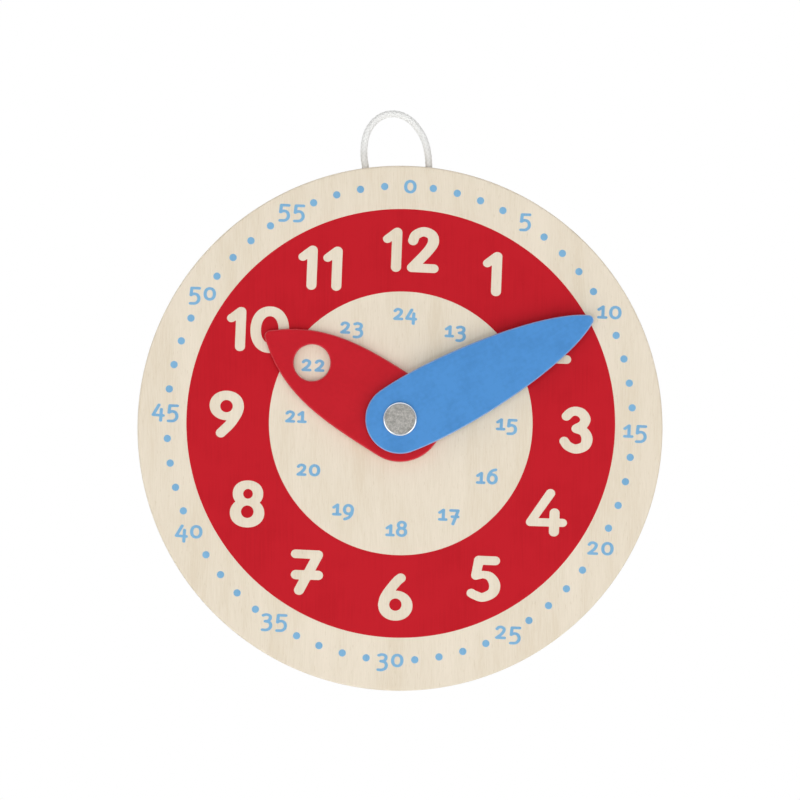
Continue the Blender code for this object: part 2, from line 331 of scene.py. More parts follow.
@dataclass(frozen=True)
class ScreenInk(Finish):
    """Screen-printed ink, a matte film a few hundredths of a millimetre thick: the wood's
    fibres show through it as faint streaks of tone and relief, 0.45 mm wide and 20 mm long,
    and it clouds a little over 12 mm."""

    name: str
    body: str
    thin: str
    roughness: float = 0.5
    unevenness: float = 0.07
    streak_scale: tuple[float, float, float] = (2200.0, 2200.0, 50.0)
    cloud_scale: float = 80.0

    def shader(self, tree: Tree, place: Socket) -> Socket:
        """Thins and roughens the ink along its streaks.

        Args:
            tree: the material's node tree.
            place: the place on the clock.

        Returns:
            The finished shader.
        """
        streak = add(tree, "TexNoise", {
            "Scale": 1.0, "Detail": 3.0, "Roughness": 0.6,
            "Vector": add(tree, "Mapping", {"Scale": self.streak_scale, "Vector": place}),
        })
        cloud = add(tree, "TexNoise", {"Scale": self.cloud_scale, "Detail": 3.0, "Vector": place})
        tone = add(tree, "Mix", {"data_type": "FLOAT", 0: 0.5, 2: streak, 3: cloud})
        return add(tree, "BsdfPrincipled", {
            "IOR": 1.4, "Specular IOR Level": 0.1,
            "Base Color": add(tree, "ValToRGB", {
                "Fac": tone, "stops": [(0.38, self.thin), (0.52, self.body)],
            }),
            "Roughness": add(tree, "MapRange", {
                "To Min": self.roughness - self.unevenness,
                "To Max": self.roughness + self.unevenness, "Value": streak,
            }),
            "Normal": add(tree, "Bump", {"Strength": 0.3, "Distance": 0.00004, "Height": streak}),
        })


@dataclass(frozen=True)
class SprayedLacquer(Finish):
    """Satin lacquer sprayed on birch: a nearly even colour with a soft, slightly pebbled
    shine, and a lighter colour painted on the eased edges as a highlight.

    Pebbles are 1.6 mm and clouds 12 mm across, and the grain below is 0.8 mm wide and 12 mm
    long, along the hand.
    """

    name: str
    body: str
    deep: str
    # The lighter colour of the painted highlight on the eased edges.
    edge: str
    middle: tuple[float, float]
    turn: float
    grain_scale: tuple[float, float, float] = (1250.0, 1250.0, 80.0)
    pebble_scale: float = 620.0
    cloud_scale: float = 85.0

    def shader(self, tree: Tree, place: Socket) -> Socket:
        """Paints a highlight and gathers a clear coat where the surface turns off +-Y.

        Args:
            tree: the material's node tree.
            place: the place on the clock.

        Returns:
            The finished shader.
        """
        along = add(tree, "Mapping", {
            "vector_type": "TEXTURE", "Location": (self.middle[0], 0.0, self.middle[1]),
            "Rotation": (0.0, self.turn, 0.0), "Vector": place,
        })
        grain = add(tree, "TexNoise", {
            "Scale": 1.0, "Detail": 2.0,
            "Vector": add(tree, "Mapping", {"Scale": self.grain_scale, "Vector": along}),
        })
        pebble = add(tree, "TexNoise", {"Scale": self.pebble_scale, "Detail": 2.0, "Vector": along})
        cloud = add(tree, "TexNoise", {"Scale": self.cloud_scale, "Detail": 3.0, "Vector": along})
        skin = add(tree, "Mix", {"data_type": "FLOAT", 0: 0.3, 2: pebble, 3: grain})
        tone = add(tree, "Mix", {"data_type": "FLOAT", 0: 0.5, 2: cloud, 3: skin})
        colour = add(
            tree, "ValToRGB", {"Fac": tone, "stops": [(0.38, self.deep), (0.56, self.body)]}
        )
        facing = add(tree, "SeparateXYZ", {0: add(tree, "NewGeometry", out="Normal")}, "Y")
        eased = add(tree, "MapRange", {
            "From Min": 0.96, "From Max": 0.75, "To Max": 0.8,
            "Value": add(tree, "Math", {"operation": "ABSOLUTE", 0: facing}),
        })
        satin = add(tree, "MapRange", {"To Min": 0.34, "To Max": 0.48, "Value": pebble})
        return add(tree, "BsdfPrincipled", {
            "IOR": 1.45, "Specular IOR Level": 0.12, "Coat Roughness": 0.22,
            # The eased edges take the painted highlight colour.
            "Base Color": add(
                tree, "Mix", {"data_type": "RGBA", 0: eased, 6: colour, 7: linear(self.edge)}, 2
            ),
            "Roughness": add(tree, "Mix", {"data_type": "FLOAT", 0: eased, 2: satin, 3: 0.24}),
            "Normal": add(tree, "Bump", {"Strength": 0.25, "Distance": 0.00005, "Height": skin}),
            "Coat Weight": add(tree, "MapRange", {"To Max": 0.9, "Value": eased}),
        })


@dataclass(frozen=True)
class TumbledSteel(Finish):
    """Nickel-plated steel, tumbled: the flat face is satin grey and faintly mottled by dents
    0.7 mm across, and the rounded rim past a set radius is burnished smooth and painted
    a lighter, bluer colour as a highlight."""

    name: str = "nickel_steel_tumbled"
    light: str = "#DAD7D2"
    dark: str = "#A5A39E"
    # The rim's painted highlight colour.
    painted_rim_highlight: str = "#D2D7DC"
    middle: tuple[float, float] = PIVOT
    burnish_and_highlight_radius: float = 0.0058
    burnish_and_highlight_fade: float = 0.0003
    dent_scale: float = 1500.0
    cloud_scale: float = 330.0

    def shader(self, tree: Tree, place: Socket) -> Socket:
        """Mixes the dented face and the smooth rim with its painted highlight colour by the
        distance from the pivot's axis.

        Args:
            tree: the material's node tree.
            place: the place on the clock.

        Returns:
            The finished shader.
        """
        centred = add(tree, "Mapping", {
            "Location": (-self.middle[0], 0.0, -self.middle[1]), "Vector": place,
        })
        flat = add(tree, "VectorMath", {"operation": "MULTIPLY", 0: centred, 1: (1.0, 0.0, 1.0)})
        radius = add(tree, "VectorMath", {"operation": "LENGTH", 0: flat}, "Value")
        dent = add(tree, "TexNoise", {
            "Scale": self.dent_scale, "Detail": 4.0, "Roughness": 0.65, "Vector": centred,
        })
        cloud = add(tree, "TexNoise", {"Scale": self.cloud_scale, "Detail": 2.0, "Vector": centred})
        tone = add(tree, "Mix", {"data_type": "FLOAT", 0: 0.3, 2: dent, 3: cloud})
        colour = add(
            tree, "ValToRGB", {"Fac": tone, "stops": [(0.36, self.dark), (0.62, self.light)]}
        )
        # Past this radius the rim is smoother and takes the painted highlight colour.
        burnish_and_highlight = add(tree, "MapRange", {
            "From Min": self.burnish_and_highlight_radius, "From Max": self.burnish_and_highlight_radius + self.burnish_and_highlight_fade,
            "Value": radius,
        })
        satin = add(tree, "MapRange", {"To Min": 0.4, "To Max": 0.54, "Value": dent})
        return add(tree, "BsdfPrincipled", {
            "Metallic": 1.0,
            "Base Color": add(
                tree, "Mix", {"data_type": "RGBA", 0: burnish_and_highlight, 6: colour, 7: linear(self.painted_rim_highlight)}, 2
            ),
            "Roughness": add(tree, "Mix", {"data_type": "FLOAT", 0: burnish_and_highlight, 2: satin, 3: 0.16}),
            "Normal": add(tree, "Bump", {"Strength": 0.22, "Distance": 0.00004, "Height": dent}),
        })


@dataclass(frozen=True)
class MouldedNylon(Finish):
    """Natural nylon, moulded: milky and a little waxy, with a spark-eroded skin of 0.15 mm grit
    and clouds 2 mm across."""

    name: str = "nylon_moulded_natural"
    milk: str = "#E6E1D5"
    shade: str = "#DAD4C5"
    grit_scale: float = 6500.0
    cloud_scale: float = 500.0

    def shader(self, tree: Tree, place: Socket) -> Socket:
        """Clouds the colour, and roughens the skin by its grit.

        Args:
            tree: the material's node tree.
            place: the place on the clock.

        Returns:
            The finished shader.
        """
        grit = add(tree, "TexNoise", {"Scale": self.grit_scale, "Detail": 2.0, "Vector": place})
        cloud = add(tree, "TexNoise", {"Scale": self.cloud_scale, "Detail": 2.0, "Vector": place})
        return add(tree, "BsdfPrincipled", {
            "IOR": 1.53, "Subsurface Weight": 0.15, "Subsurface Scale": 0.0006,
            "Base Color": add(tree, "ValToRGB", {
                "Fac": cloud, "stops": [(0.35, self.shade), (0.65, self.milk)],
            }),
            "Roughness": add(tree, "MapRange", {"To Min": 0.38, "To Max": 0.5, "Value": grit}),
            "Normal": add(tree, "Bump", {"Strength": 0.2, "Distance": 0.00002, "Height": grit}),
        })


@dataclass(frozen=True)
class BraidedCotton(Finish):
    """Braided cotton cord, bleached: soft matte strands with a fine fuzz. Painted shade
    darkens the valleys between the strands and greys the cord a little where it enters the board.

    The piece's own attributes give the braid's height and the distance from the board's rim.
    """

    name: str = "cotton_cord_braided"
    strand: str = "#F2F2F0"
    # Painted shade colours: in the braid's valleys, and where the cord enters the board.
    painted_valley_shade: str = "#E4E4E2"
    painted_board_shade: str = "#DBD6D0"
    board_shade_length: float = 0.011
    fuzz_scale: float = 5200.0

    def shader(self, tree: Tree, place: Socket) -> Socket:
        """Paints shade into the valleys, and greys the cord with painted shade near the board.

        Args:
            tree: the material's node tree.
            place: the place on the clock.

        Returns:
            The finished shader.
        """
        height, inward = (
            add(tree, "Attribute", {"attribute_name": name}, "Fac")
            for name in ("braid_height", "rim_distance")
        )
        fuzz = add(tree, "TexNoise", {
            "Scale": self.fuzz_scale, "Detail": 3.0, "Roughness": 0.7, "Vector": place,
        })
        # Painted shade: darker where the braid is low.
        colour = add(
            tree, "ValToRGB", {"Fac": height, "stops": [(0.05, self.painted_valley_shade), (0.55, self.strand)]}
        )
        # Painted shade: greyer towards the board's rim.
        grey = add(tree, "MapRange", {
            "interpolation_type": "SMOOTHSTEP", "From Min": 0.0, "From Max": self.board_shade_length,
            "To Min": 0.6, "To Max": 0.0, "Value": inward,
        })
        return add(tree, "BsdfPrincipled", {
            "IOR": 1.5, "Sheen Weight": 0.3, "Sheen Roughness": 0.5,
            "Base Color": add(tree, "Mix", {
                "data_type": "RGBA", "blend_type": "MULTIPLY", 0: grey, 6: colour,
                7: linear(self.painted_board_shade),
            }, 2),
            "Roughness": add(tree, "MapRange", {"To Min": 0.8, "To Max": 0.95, "Value": fuzz}),
            "Normal": add(tree, "Bump", {"Strength": 0.25, "Distance": 0.00005, "Height": fuzz}),
        })


@dataclass(frozen=True)
class PaperFloor(Finish):
    """Matte background paper with a faint tooth 3 mm across, which looks white behind the
    clock: the lift brings the lit paper up to white where it is seen, and lights nothing."""

    name: str = "paper_matte_white"
    sheet: str = "#F1F1EF"
    tooth: str = "#EAEAE8"
    lift: float = 0.36
    tooth_scale: float = 300.0

    def shader(self, tree: Tree, place: Socket) -> Socket:
        """Mottles the paper, and lifts it for the rays that show it.

        Args:
            tree: the material's node tree.
            place: the place on the clock.

        Returns:
            The finished shader.
        """
        tooth = add(tree, "TexNoise", {"Scale": self.tooth_scale, "Detail": 3.0, "Vector": place})
        seen = background_rays(tree, True)
        lift = add(tree, "Math", {"operation": "MULTIPLY", 0: seen, 1: self.lift})
        return add(tree, "BsdfPrincipled", {
            "Roughness": 0.9, "IOR": 1.4, "Emission Color": WHITE,
            "Base Color": add(tree, "ValToRGB", {
                "Fac": tooth, "stops": [(0.35, self.tooth), (0.65, self.sheet)],
            }),
            "Emission Strength": lift,
        })


# ---------------------------------------------------------------- surfaces


def in_scene(name: str, data: bpy.types.ID) -> Object:
    """Puts a mesh, a lamp or a camera in the scene.

    Args:
        name: the object's name.
        data: what it shows.

    Returns:
        The new object.
    """
    thing = bpy.data.objects.new(name, data)
    bpy.context.scene.collection.objects.link(thing)
    return thing


def angles_round(sides: int) -> np.ndarray:
    """Evenly spaced angles once round, one for each side."""
    return np.linspace(0.0, 2.0 * math.pi, sides, endpoint=False)


def outward(points: np.ndarray, faces: list[np.ndarray]) -> list[np.ndarray]:
    """Turns a closed shell's faces outwards.

    The volume is a sixth of the sum, over every face's fan of triangles, of the triple product
    of its corners; where it comes out negative, every face is turned round.

    Args:
        points: the corners, one row each.
        faces: arrays of faces, each with one face a row.

    Returns:
        The same arrays, each row turned round if the shell was inside out.
    """
    volume = 0.0
    for rows in faces:
        for step in range(1, rows.shape[1] - 1):
            a, b, c = points[rows[:, 0]], points[rows[:, step]], points[rows[:, step + 1]]
            volume += float(np.einsum("ij,ij->", a, np.cross(b, c)))
    return [rows[:, ::-1] for rows in faces] if volume < 0 else faces


def make_piece(
    name: str,
    points: np.ndarray,
    faces: list[np.ndarray],
    material: bpy.types.Material,
    crease: float = SHARP,
) -> Object:
    """Makes a smooth-shaded closed piece from arrays.

    Args:
        name: the piece's name.
        points: the corners in the clock's frame, one row each.
        faces: arrays of faces, each with one face a row.
        material: its finish.
        crease: the angle in degrees past which an edge is shaded sharp.

    Returns:
        The new object, in the scene.
    """
    mesh = bpy.data.meshes.new(name)
    rows = [row for block in outward(points, faces) for row in block.tolist()]
    mesh.from_pydata(points.tolist(), [], rows)
    mesh.materials.append(material)
    mesh.shade_smooth()
    mesh.set_sharp_from_angle(angle=math.radians(crease))
    mesh.validate()
    return in_scene(name, mesh)


def place_piece(piece: Object, body: Body, replaces: str | None = None) -> None:
    """Ties a piece to its body and the solid that it stands for.

    Args:
        piece: the finished piece.
        body: the body that it rides on.
        replaces: the solid that it hides, if any.
    """
    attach(piece, body.value)
    if replaces:
        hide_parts(replaces)
    log.info("%s: %d faces on %s", piece.name, len(piece.data.polygons), body.value)


def sheet_faces(rows: int, columns: int, closed: bool) -> np.ndarray:
    """Four-cornered faces of a grid whose rows are closed rings.

    Args:
        rows: the number of rings.
        columns: the number of points on each ring.
        closed: whether the last ring joins the first.

    Returns:
        One face a row, as point numbers.
    """
    starts = np.arange(rows if closed else rows - 1)
    ring, spot = np.meshgrid(starts, np.arange(columns), indexing="ij")
    up, over = (ring + 1) % rows, (spot + 1) % columns
    corners = [
        ring * columns + spot, ring * columns + over, up * columns + over, up * columns + spot,
    ]
    return np.stack([c.ravel() for c in corners], 1)


def end_fans(rings: int, sides: int) -> list[np.ndarray]:
    """Triangles that close a grid of rings, whose two end points come after its own points.

    Args:
        rings: the number of rings.
        sides: the number of points on each ring.

    Returns:
        The triangles at the first ring and those at the last, one a row.
    """
    spot, end = np.arange(sides), np.full(sides, rings * sides)
    over, top = (spot + 1) % sides, (rings - 1) * sides
    return [np.stack([over, spot, end], 1), np.stack([top + spot, top + over, end + 1], 1)]


def eased_corner(radius: float, start: float, steps: int = EASE_STEPS) -> np.ndarray:
    """A quarter of a circle, as steps right and up from its middle.

    The point at angle a is radius times (cos a, sin a), for a over a quarter turn from start.

    Args:
        radius: the corner's radius.
        start: the first angle in degrees.
        steps: the number of points.

    Returns:
        One point a row.
    """
    angle = np.radians(start + np.linspace(0.0, 90.0, steps))
    return radius * np.stack([np.cos(angle), np.sin(angle)], 1)


def eased_rim(
    radius: float, front: float, back: float, ease: float, steps: int = EASE_STEPS
) -> np.ndarray:
    """The outer edge of a disc, from its front face to its back one, with eased corners.

    Args:
        radius: the disc's radius.
        front: the y of its front face.
        back: the y of its back face.
        ease: the radius of its corners.
        steps: the number of points across each corner.

    Returns:
        Radius and y, one point a row.
    """
    return np.vstack([
        eased_corner(ease, -90.0, steps) + [radius - ease, front + ease],
        eased_corner(ease, 0.0, steps) + [radius - ease, back - ease],
    ])


def turned_shell(
    profile: np.ndarray, middles: np.ndarray, sides: int, closed: bool
) -> tuple[np.ndarray, list[np.ndarray]]:
    """A surface of revolution about the Y direction whose rings may have middles of their own.

    The point for profile row k and angle a is middle k plus radius k times (sin a, cos a) in the
    dial's plane, at depth y k. An open profile starts and ends on its axis, where the ring is one
    point; a closed one joins its last ring to its first.

    Args:
        profile: radius and y of each row.
        middles: x and z of each row's middle.
        sides: the number of points round each ring.
        closed: whether the profile is a closed line.

    Returns:
        The points and the arrays of faces.
    """
    angle = angles_round(sides)
    rings = profile if closed else profile[1:-1]
    centres = middles if closed else middles[1:-1]
    x = centres[:, :1] + rings[:, :1] * np.sin(angle)
    z = centres[:, 1:] + rings[:, :1] * np.cos(angle)
    y = np.broadcast_to(rings[:, 1:], x.shape)
    points = np.stack([x, y, z], 2).reshape(-1, 3)
    faces = [sheet_faces(len(rings), sides, closed)]
    if not closed:
        ends = np.stack([middles[[0, -1], 0], profile[[0, -1], 1], middles[[0, -1], 1]], 1)
        faces += end_fans(len(rings), sides)
        points = np.vstack([points, ends])
    return points, faces


@dataclass
class Outline:
    """A closed line in a plane, or several, as points and the pairs of them that are joined."""

    points: np.ndarray
    edges: np.ndarray

    def moved(self, turn: float, place: tuple[float, float]) -> "Outline":
        """Gives the outline turned clockwise and then shifted.

        Args:
            turn: the clockwise turn in radians.
            place: the shift, right and up.

        Returns:
            A new outline.
        """
        cos, sin = math.cos(turn), math.sin(turn)
        x, y = self.points.T
        spun = np.stack([x * cos + y * sin + place[0], y * cos - x * sin + place[1]], 1)
        return Outline(spun, self.edges)

    def holds(self, places: np.ndarray) -> np.ndarray:
        """Tells which places lie inside, by an odd number of edges to their right.

        Args:
            places: points of the plane, one a row.

        Returns:
            One truth value for each place.
        """
        low, high = self.points.min(0), self.points.max(0)
        near = np.flatnonzero(((places > low) & (places < high)).all(1))
        a, b = self.points[self.edges[:, 0]], self.points[self.edges[:, 1]]
        x, y = places[near, 0][:, None], places[near, 1][:, None]
        spans = (a[:, 1] > y) != (b[:, 1] > y)
        rise = np.where(b[:, 1] == a[:, 1], 1.0, b[:, 1] - a[:, 1])
        cross = a[:, 0] + (y - a[:, 1]) / rise * (b[:, 0] - a[:, 0])
        result = np.zeros(len(places), bool)
        result[near] = (spans & (x < cross)).sum(1) % 2 == 1
        return result


def loop_edges(count: int) -> np.ndarray:
    """Pairs of neighbours round a loop of so many points."""
    return np.stack([np.arange(count), (np.arange(count) + 1) % count], 1)


def circle(radius: float, place: tuple[float, float], sides: int) -> Outline:
    """A circle as an outline.

    Args:
        radius: its radius.
        place: its middle.
        sides: its number of points.

    Returns:
        The outline, with the point at angle a at middle + radius * (cos a, sin a).
    """
    angle = angles_round(sides)
    points = np.stack([place[0] + radius * np.cos(angle), place[1] + radius * np.sin(angle)], 1)
    return Outline(points, loop_edges(sides))


def fill_outlines(outlines: list[Outline]) -> tuple[np.ndarray, np.ndarray]:
    """Triangles between outlines, kept where an odd number of the outlines holds their middle.

    Args:
        outlines: the outlines, which don't cross.

    Returns:
        The points of all outlines in order, and the triangles, one a row.
    """
    starts = np.cumsum([0] + [len(o.points) for o in outlines[:-1]])
    points = np.vstack([o.points for o in outlines])
    edges = np.vstack([o.edges + s for o, s in zip(outlines, starts)])
    _, _, faces, sources, _, _ = delaunay_2d_cdt(
        [Vector(p) for p in points.tolist()], edges.tolist(), [], 0, 1e-5
    )
    source = np.array([s[0] for s in sources])
    triangles = source[np.array(faces)]
    middles = points[triangles].mean(1)
    held = sum(outline.holds(middles).astype(int) for outline in outlines)
    return points, triangles[held % 2 == 1]


def way_along(line: np.ndarray) -> np.ndarray:
    """The way from a line's first point to each of its points, along the line."""
    return np.append(0.0, np.cumsum(np.linalg.norm(np.diff(line, axis=0), axis=1)))


def rim_edges(triangles: np.ndarray) -> np.ndarray:
    """The directed edges that belong to one triangle alone.

    Args:
        triangles: triangles, one a row.

    Returns:
        Start and end of each rim edge, in the triangle's direction.
    """
    edges = np.concatenate([triangles[:, [0, 1]], triangles[:, [1, 2]], triangles[:, [2, 0]]])
    _, index, uses = np.unique(np.sort(edges, 1), axis=0, return_index=True, return_counts=True)
    return edges[index[uses == 1]]


def slab(levels: list[np.ndarray], triangles: np.ndarray) -> tuple[np.ndarray, list[np.ndarray]]:
    """A closed slab: the same triangles on its first and last level, and walls between levels.

    Args:
        levels: the outline points at each level, from the front to the back, in the clock's frame.
        triangles: the fill of the first level.

    Returns:
        The points and the arrays of faces.
    """
    count = len(levels[0])
    rim = rim_edges(triangles)
    walls = [
        np.stack([rim[:, 1], rim[:, 0], rim[:, 0] + count, rim[:, 1] + count], 1) + count * level
        for level in range(len(levels) - 1)
    ]
    back = triangles[:, ::-1] + count * (len(levels) - 1)
    return np.vstack(levels), [triangles, back, np.vstack(walls)]


# ---------------------------------------------------------------- lettering


class Line(Enum):
    """How a stroke's numbers are read."""

    CURVE = "points that a smooth line passes through, each with the pen's share if it isn't 1"
    RING = "middle, half width, half height and squareness of a closed ring"
    BOWL = "the same numbers of a filled round form"
    COUNTER = "the same numbers of a round opening, cut last"


Stroke = tuple[Line, tuple]

# Bold round-ended figures of the hours, in millimetres about their middle.
HOUR_FIGURES: dict[str, list[Stroke]] = {
    "0": [(Line.BOWL, (0, 0, 7.72, 9.3, 2.15)), (Line.COUNTER, (0, 0, 3.5, 5.4, 2.1))],
    "1": [
        (Line.CURVE, ((1.5, 7.0), (1.5, -6.95))),
        (Line.CURVE, ((-2.37, 4.24, 0.87), (1.4, 7.0, 0.98))),
    ],
    "2": [
        (Line.CURVE, ((-3.97, 3.7), (-2.96, 6.0), (0.16, 7.39), (3.4, 6.15, 1.04), (4.15, 3.4, 1.1),
                      (2.5, 0.2, 1.02), (-1.01, -3.87), (-4.11, -7.1, 0.95))),
        (Line.CURVE, ((-4.11, -7.15, 0.94), (4.72, -7.2, 0.94))),
    ],
    "3": [
        (Line.CURVE, ((-3.94, 5.42, 0.95), (-2.4, 6.96, 0.95), (-0.3, 7.57, 0.97), (2.13, 6.83),
                      (3.66, 4.53, 1.02), (2.71, 2.17, 0.98), (0.14, 0.6, 0.94))),
        (Line.CURVE, ((0.14, 0.6, 0.94), (3.1, -0.42), (4.61, -3.15, 1.1), (3.73, -6.19, 1.04),
                      (0.3, -7.53, 0.99), (-2.86, -6.46, 0.97), (-4.46, -4.6, 0.95))),
    ],
    "4": [
        (Line.CURVE, ((1.31, 7.88, 0.93), (-6.3, -3.88, 0.87))),
        (Line.CURVE, ((-6.3, -3.88, 0.87), (6.62, -3.72, 0.87))),
        (Line.CURVE, ((3.27, 0.07), (3.29, -7.45))),
    ],
    "5": [
        (Line.CURVE, ((4.27, 7.28, 0.95), (-2.25, 7.26, 0.95))),
        (Line.CURVE, ((-2.25, 7.26, 0.97), (-3.29, 1.14, 0.92))),
        (Line.CURVE, ((-3.29, 1.14, 0.92), (-1.61, 1.36, 0.8), (-0.03, 1.6, 0.8), (2.53, 0.8, 0.94),
                      (4.37, -2.16, 1.1), (3.66, -5.47, 1.05), (-0.14, -7.5, 0.95),
                      (-3.29, -6.74, 0.94), (-4.8, -6.0, 0.94))),
    ],
    "6": [
        (Line.BOWL, (0.18, -3.47, 6.85, 6.0, 2.05)), (Line.COUNTER, (0.16, -3.05, 2.46, 2.46, 2.0)),
        (Line.CURVE, ((-4.72, -3.39), (-4.38, -1.1), (-3.25, 1.27), (-1.45, 3.9), (0.69, 6.6),
                      (1.89, 7.62))),
    ],
    "7": [
        (Line.CURVE, ((-4.8, 7.1, 0.93), (4.28, 7.05, 0.93))),
        (Line.CURVE, ((4.15, 6.9, 0.98), (-2.87, -7.38))),
        (Line.CURVE, ((-4.39, -1.21), (4.48, -1.18))),
    ],
    "8": [
        (Line.BOWL, (0.17, 4.11, 6.08, 5.28, 2.15)), (Line.COUNTER, (0.18, 4.05, 1.92, 1.94, 2.0)),
        (Line.BOWL, (0.1, -3.58, 6.9, 5.83, 2.1)), (Line.COUNTER, (0.17, -3.11, 2.5, 2.5, 2.0)),
    ],
    "9": [
        (Line.BOWL, (-0.12, 3.51, 6.85, 5.9, 2.05)), (Line.COUNTER, (-0.17, 3.23, 2.5, 2.46, 2.0)),
        (Line.CURVE, ((4.72, 3.3), (4.55, 1.7), (3.75, -0.3), (1.52, -3.8), (-2.0, -7.5))),
    ],
}

# Light old-style figures of the minutes and the afternoon hours, in fifteenths of their pitch:
# the line they stand on is y = 0 and small letters would reach y = 10.8.
SMALL_FIGURES: dict[str, list[Stroke]] = {
    "0": [(Line.RING, (0, 5.4, 4.6, 5.4, 2.2))],
    "1": [
        (Line.CURVE, ((0.8, 0), (0.8, 10.8))),
        (Line.CURVE, ((0.8, 10.8), (-3.4, 7.8))),
        (Line.CURVE, ((-3.4, 0.1), (3.9, 0.1))),
    ],
    "2": [
        (Line.CURVE, ((-3.7, 8.9), (-2.2, 10.4), (0.3, 10.9), (3.0, 9.6), (3.2, 7.2), (1.0, 3.9),
                      (-3.8, 0.1))),
        (Line.CURVE, ((-3.8, 0.1), (4.0, 0.1))),
    ],
    "3": [
        (Line.CURVE, ((-3.9, 9.9), (-0.8, 10.8), (2.6, 9.8), (3.3, 7.2), (1.6, 4.8), (-1.7, 4.1))),
        (Line.CURVE, ((-1.7, 4.1), (2.4, 3.2), (4.0, 0.4), (2.9, -2.9), (-0.6, -4.6),
                      (-4.2, -4.5))),
    ],
    "4": [
        (Line.CURVE, ((0.4, 10.8), (-5.0, 1.0))),
        (Line.CURVE, ((-5.0, 0.8), (5.0, 0.4))),
        (Line.CURVE, ((2.9, 6.6), (2.6, -4.6))),
    ],
    "5": [
        (Line.CURVE, ((-3.4, 10.6), (4.1, 10.6))),
        (Line.CURVE, ((-3.4, 10.6), (-4.0, 3.6))),
        (Line.CURVE, ((-4.0, 3.8), (-0.8, 4.9), (2.4, 3.9), (3.9, 1.0), (3.4, -2.2), (0.6, -4.5),
                      (-4.4, -4.8))),
    ],
    "6": [
        (Line.RING, (0, 4.9, 4.5, 4.9, 2.1)),
        (Line.CURVE, ((-4.5, 5.6), (-3.4, 10.4), (-0.2, 13.9), (3.6, 15.2))),
    ],
    "7": [
        (Line.CURVE, ((-4.2, 10.6), (4.1, 10.6))),
        (Line.CURVE, ((4.1, 10.6), (-1.2, -4.6))),
        (Line.CURVE, ((-2.4, 3.6), (4.2, 3.6))),
    ],
    "8": [(Line.RING, (0, 11.7, 3.9, 3.5, 2.1)), (Line.RING, (0, 4.0, 4.6, 4.1, 2.1))],
    "9": [
        (Line.RING, (0, 5.9, 4.5, 4.8, 2.1)),
        (Line.CURVE, ((4.5, 5.2), (3.4, 0.4), (0.4, -3.2), (-3.8, -5.0))),
    ],
}


def smooth_line(points: np.ndarray, steps: int = 12) -> np.ndarray:
    """A smooth line through points, straight where there are only two.

    Between two points it is the cubic that leaves each point along the line that joins its two
    neighbours (Catmull-Rom), with the end points mirrored to give them neighbours.

    Args:
        points: the points, one a row.
        steps: the number of places worked out between two points.

    Returns:
        The line's points, one a row.
    """
    if len(points) == 2:
        return points
    padded = np.vstack([2 * points[0] - points[1], points, 2 * points[-1] - points[-2]])
    t = np.linspace(0.0, 1.0, steps, endpoint=False)[None, :, None]
    a, b, c, d = (padded[i:len(padded) - 3 + i, None, :] for i in range(4))
    spans = 0.5 * (
        2 * b + (c - a) * t + (2 * a - 5 * b + 4 * c - d) * t ** 2
        + (3 * b - a - 3 * c + d) * t ** 3
    )
    return np.vstack([spans.reshape(-1, points.shape[1]), points[-1:]])


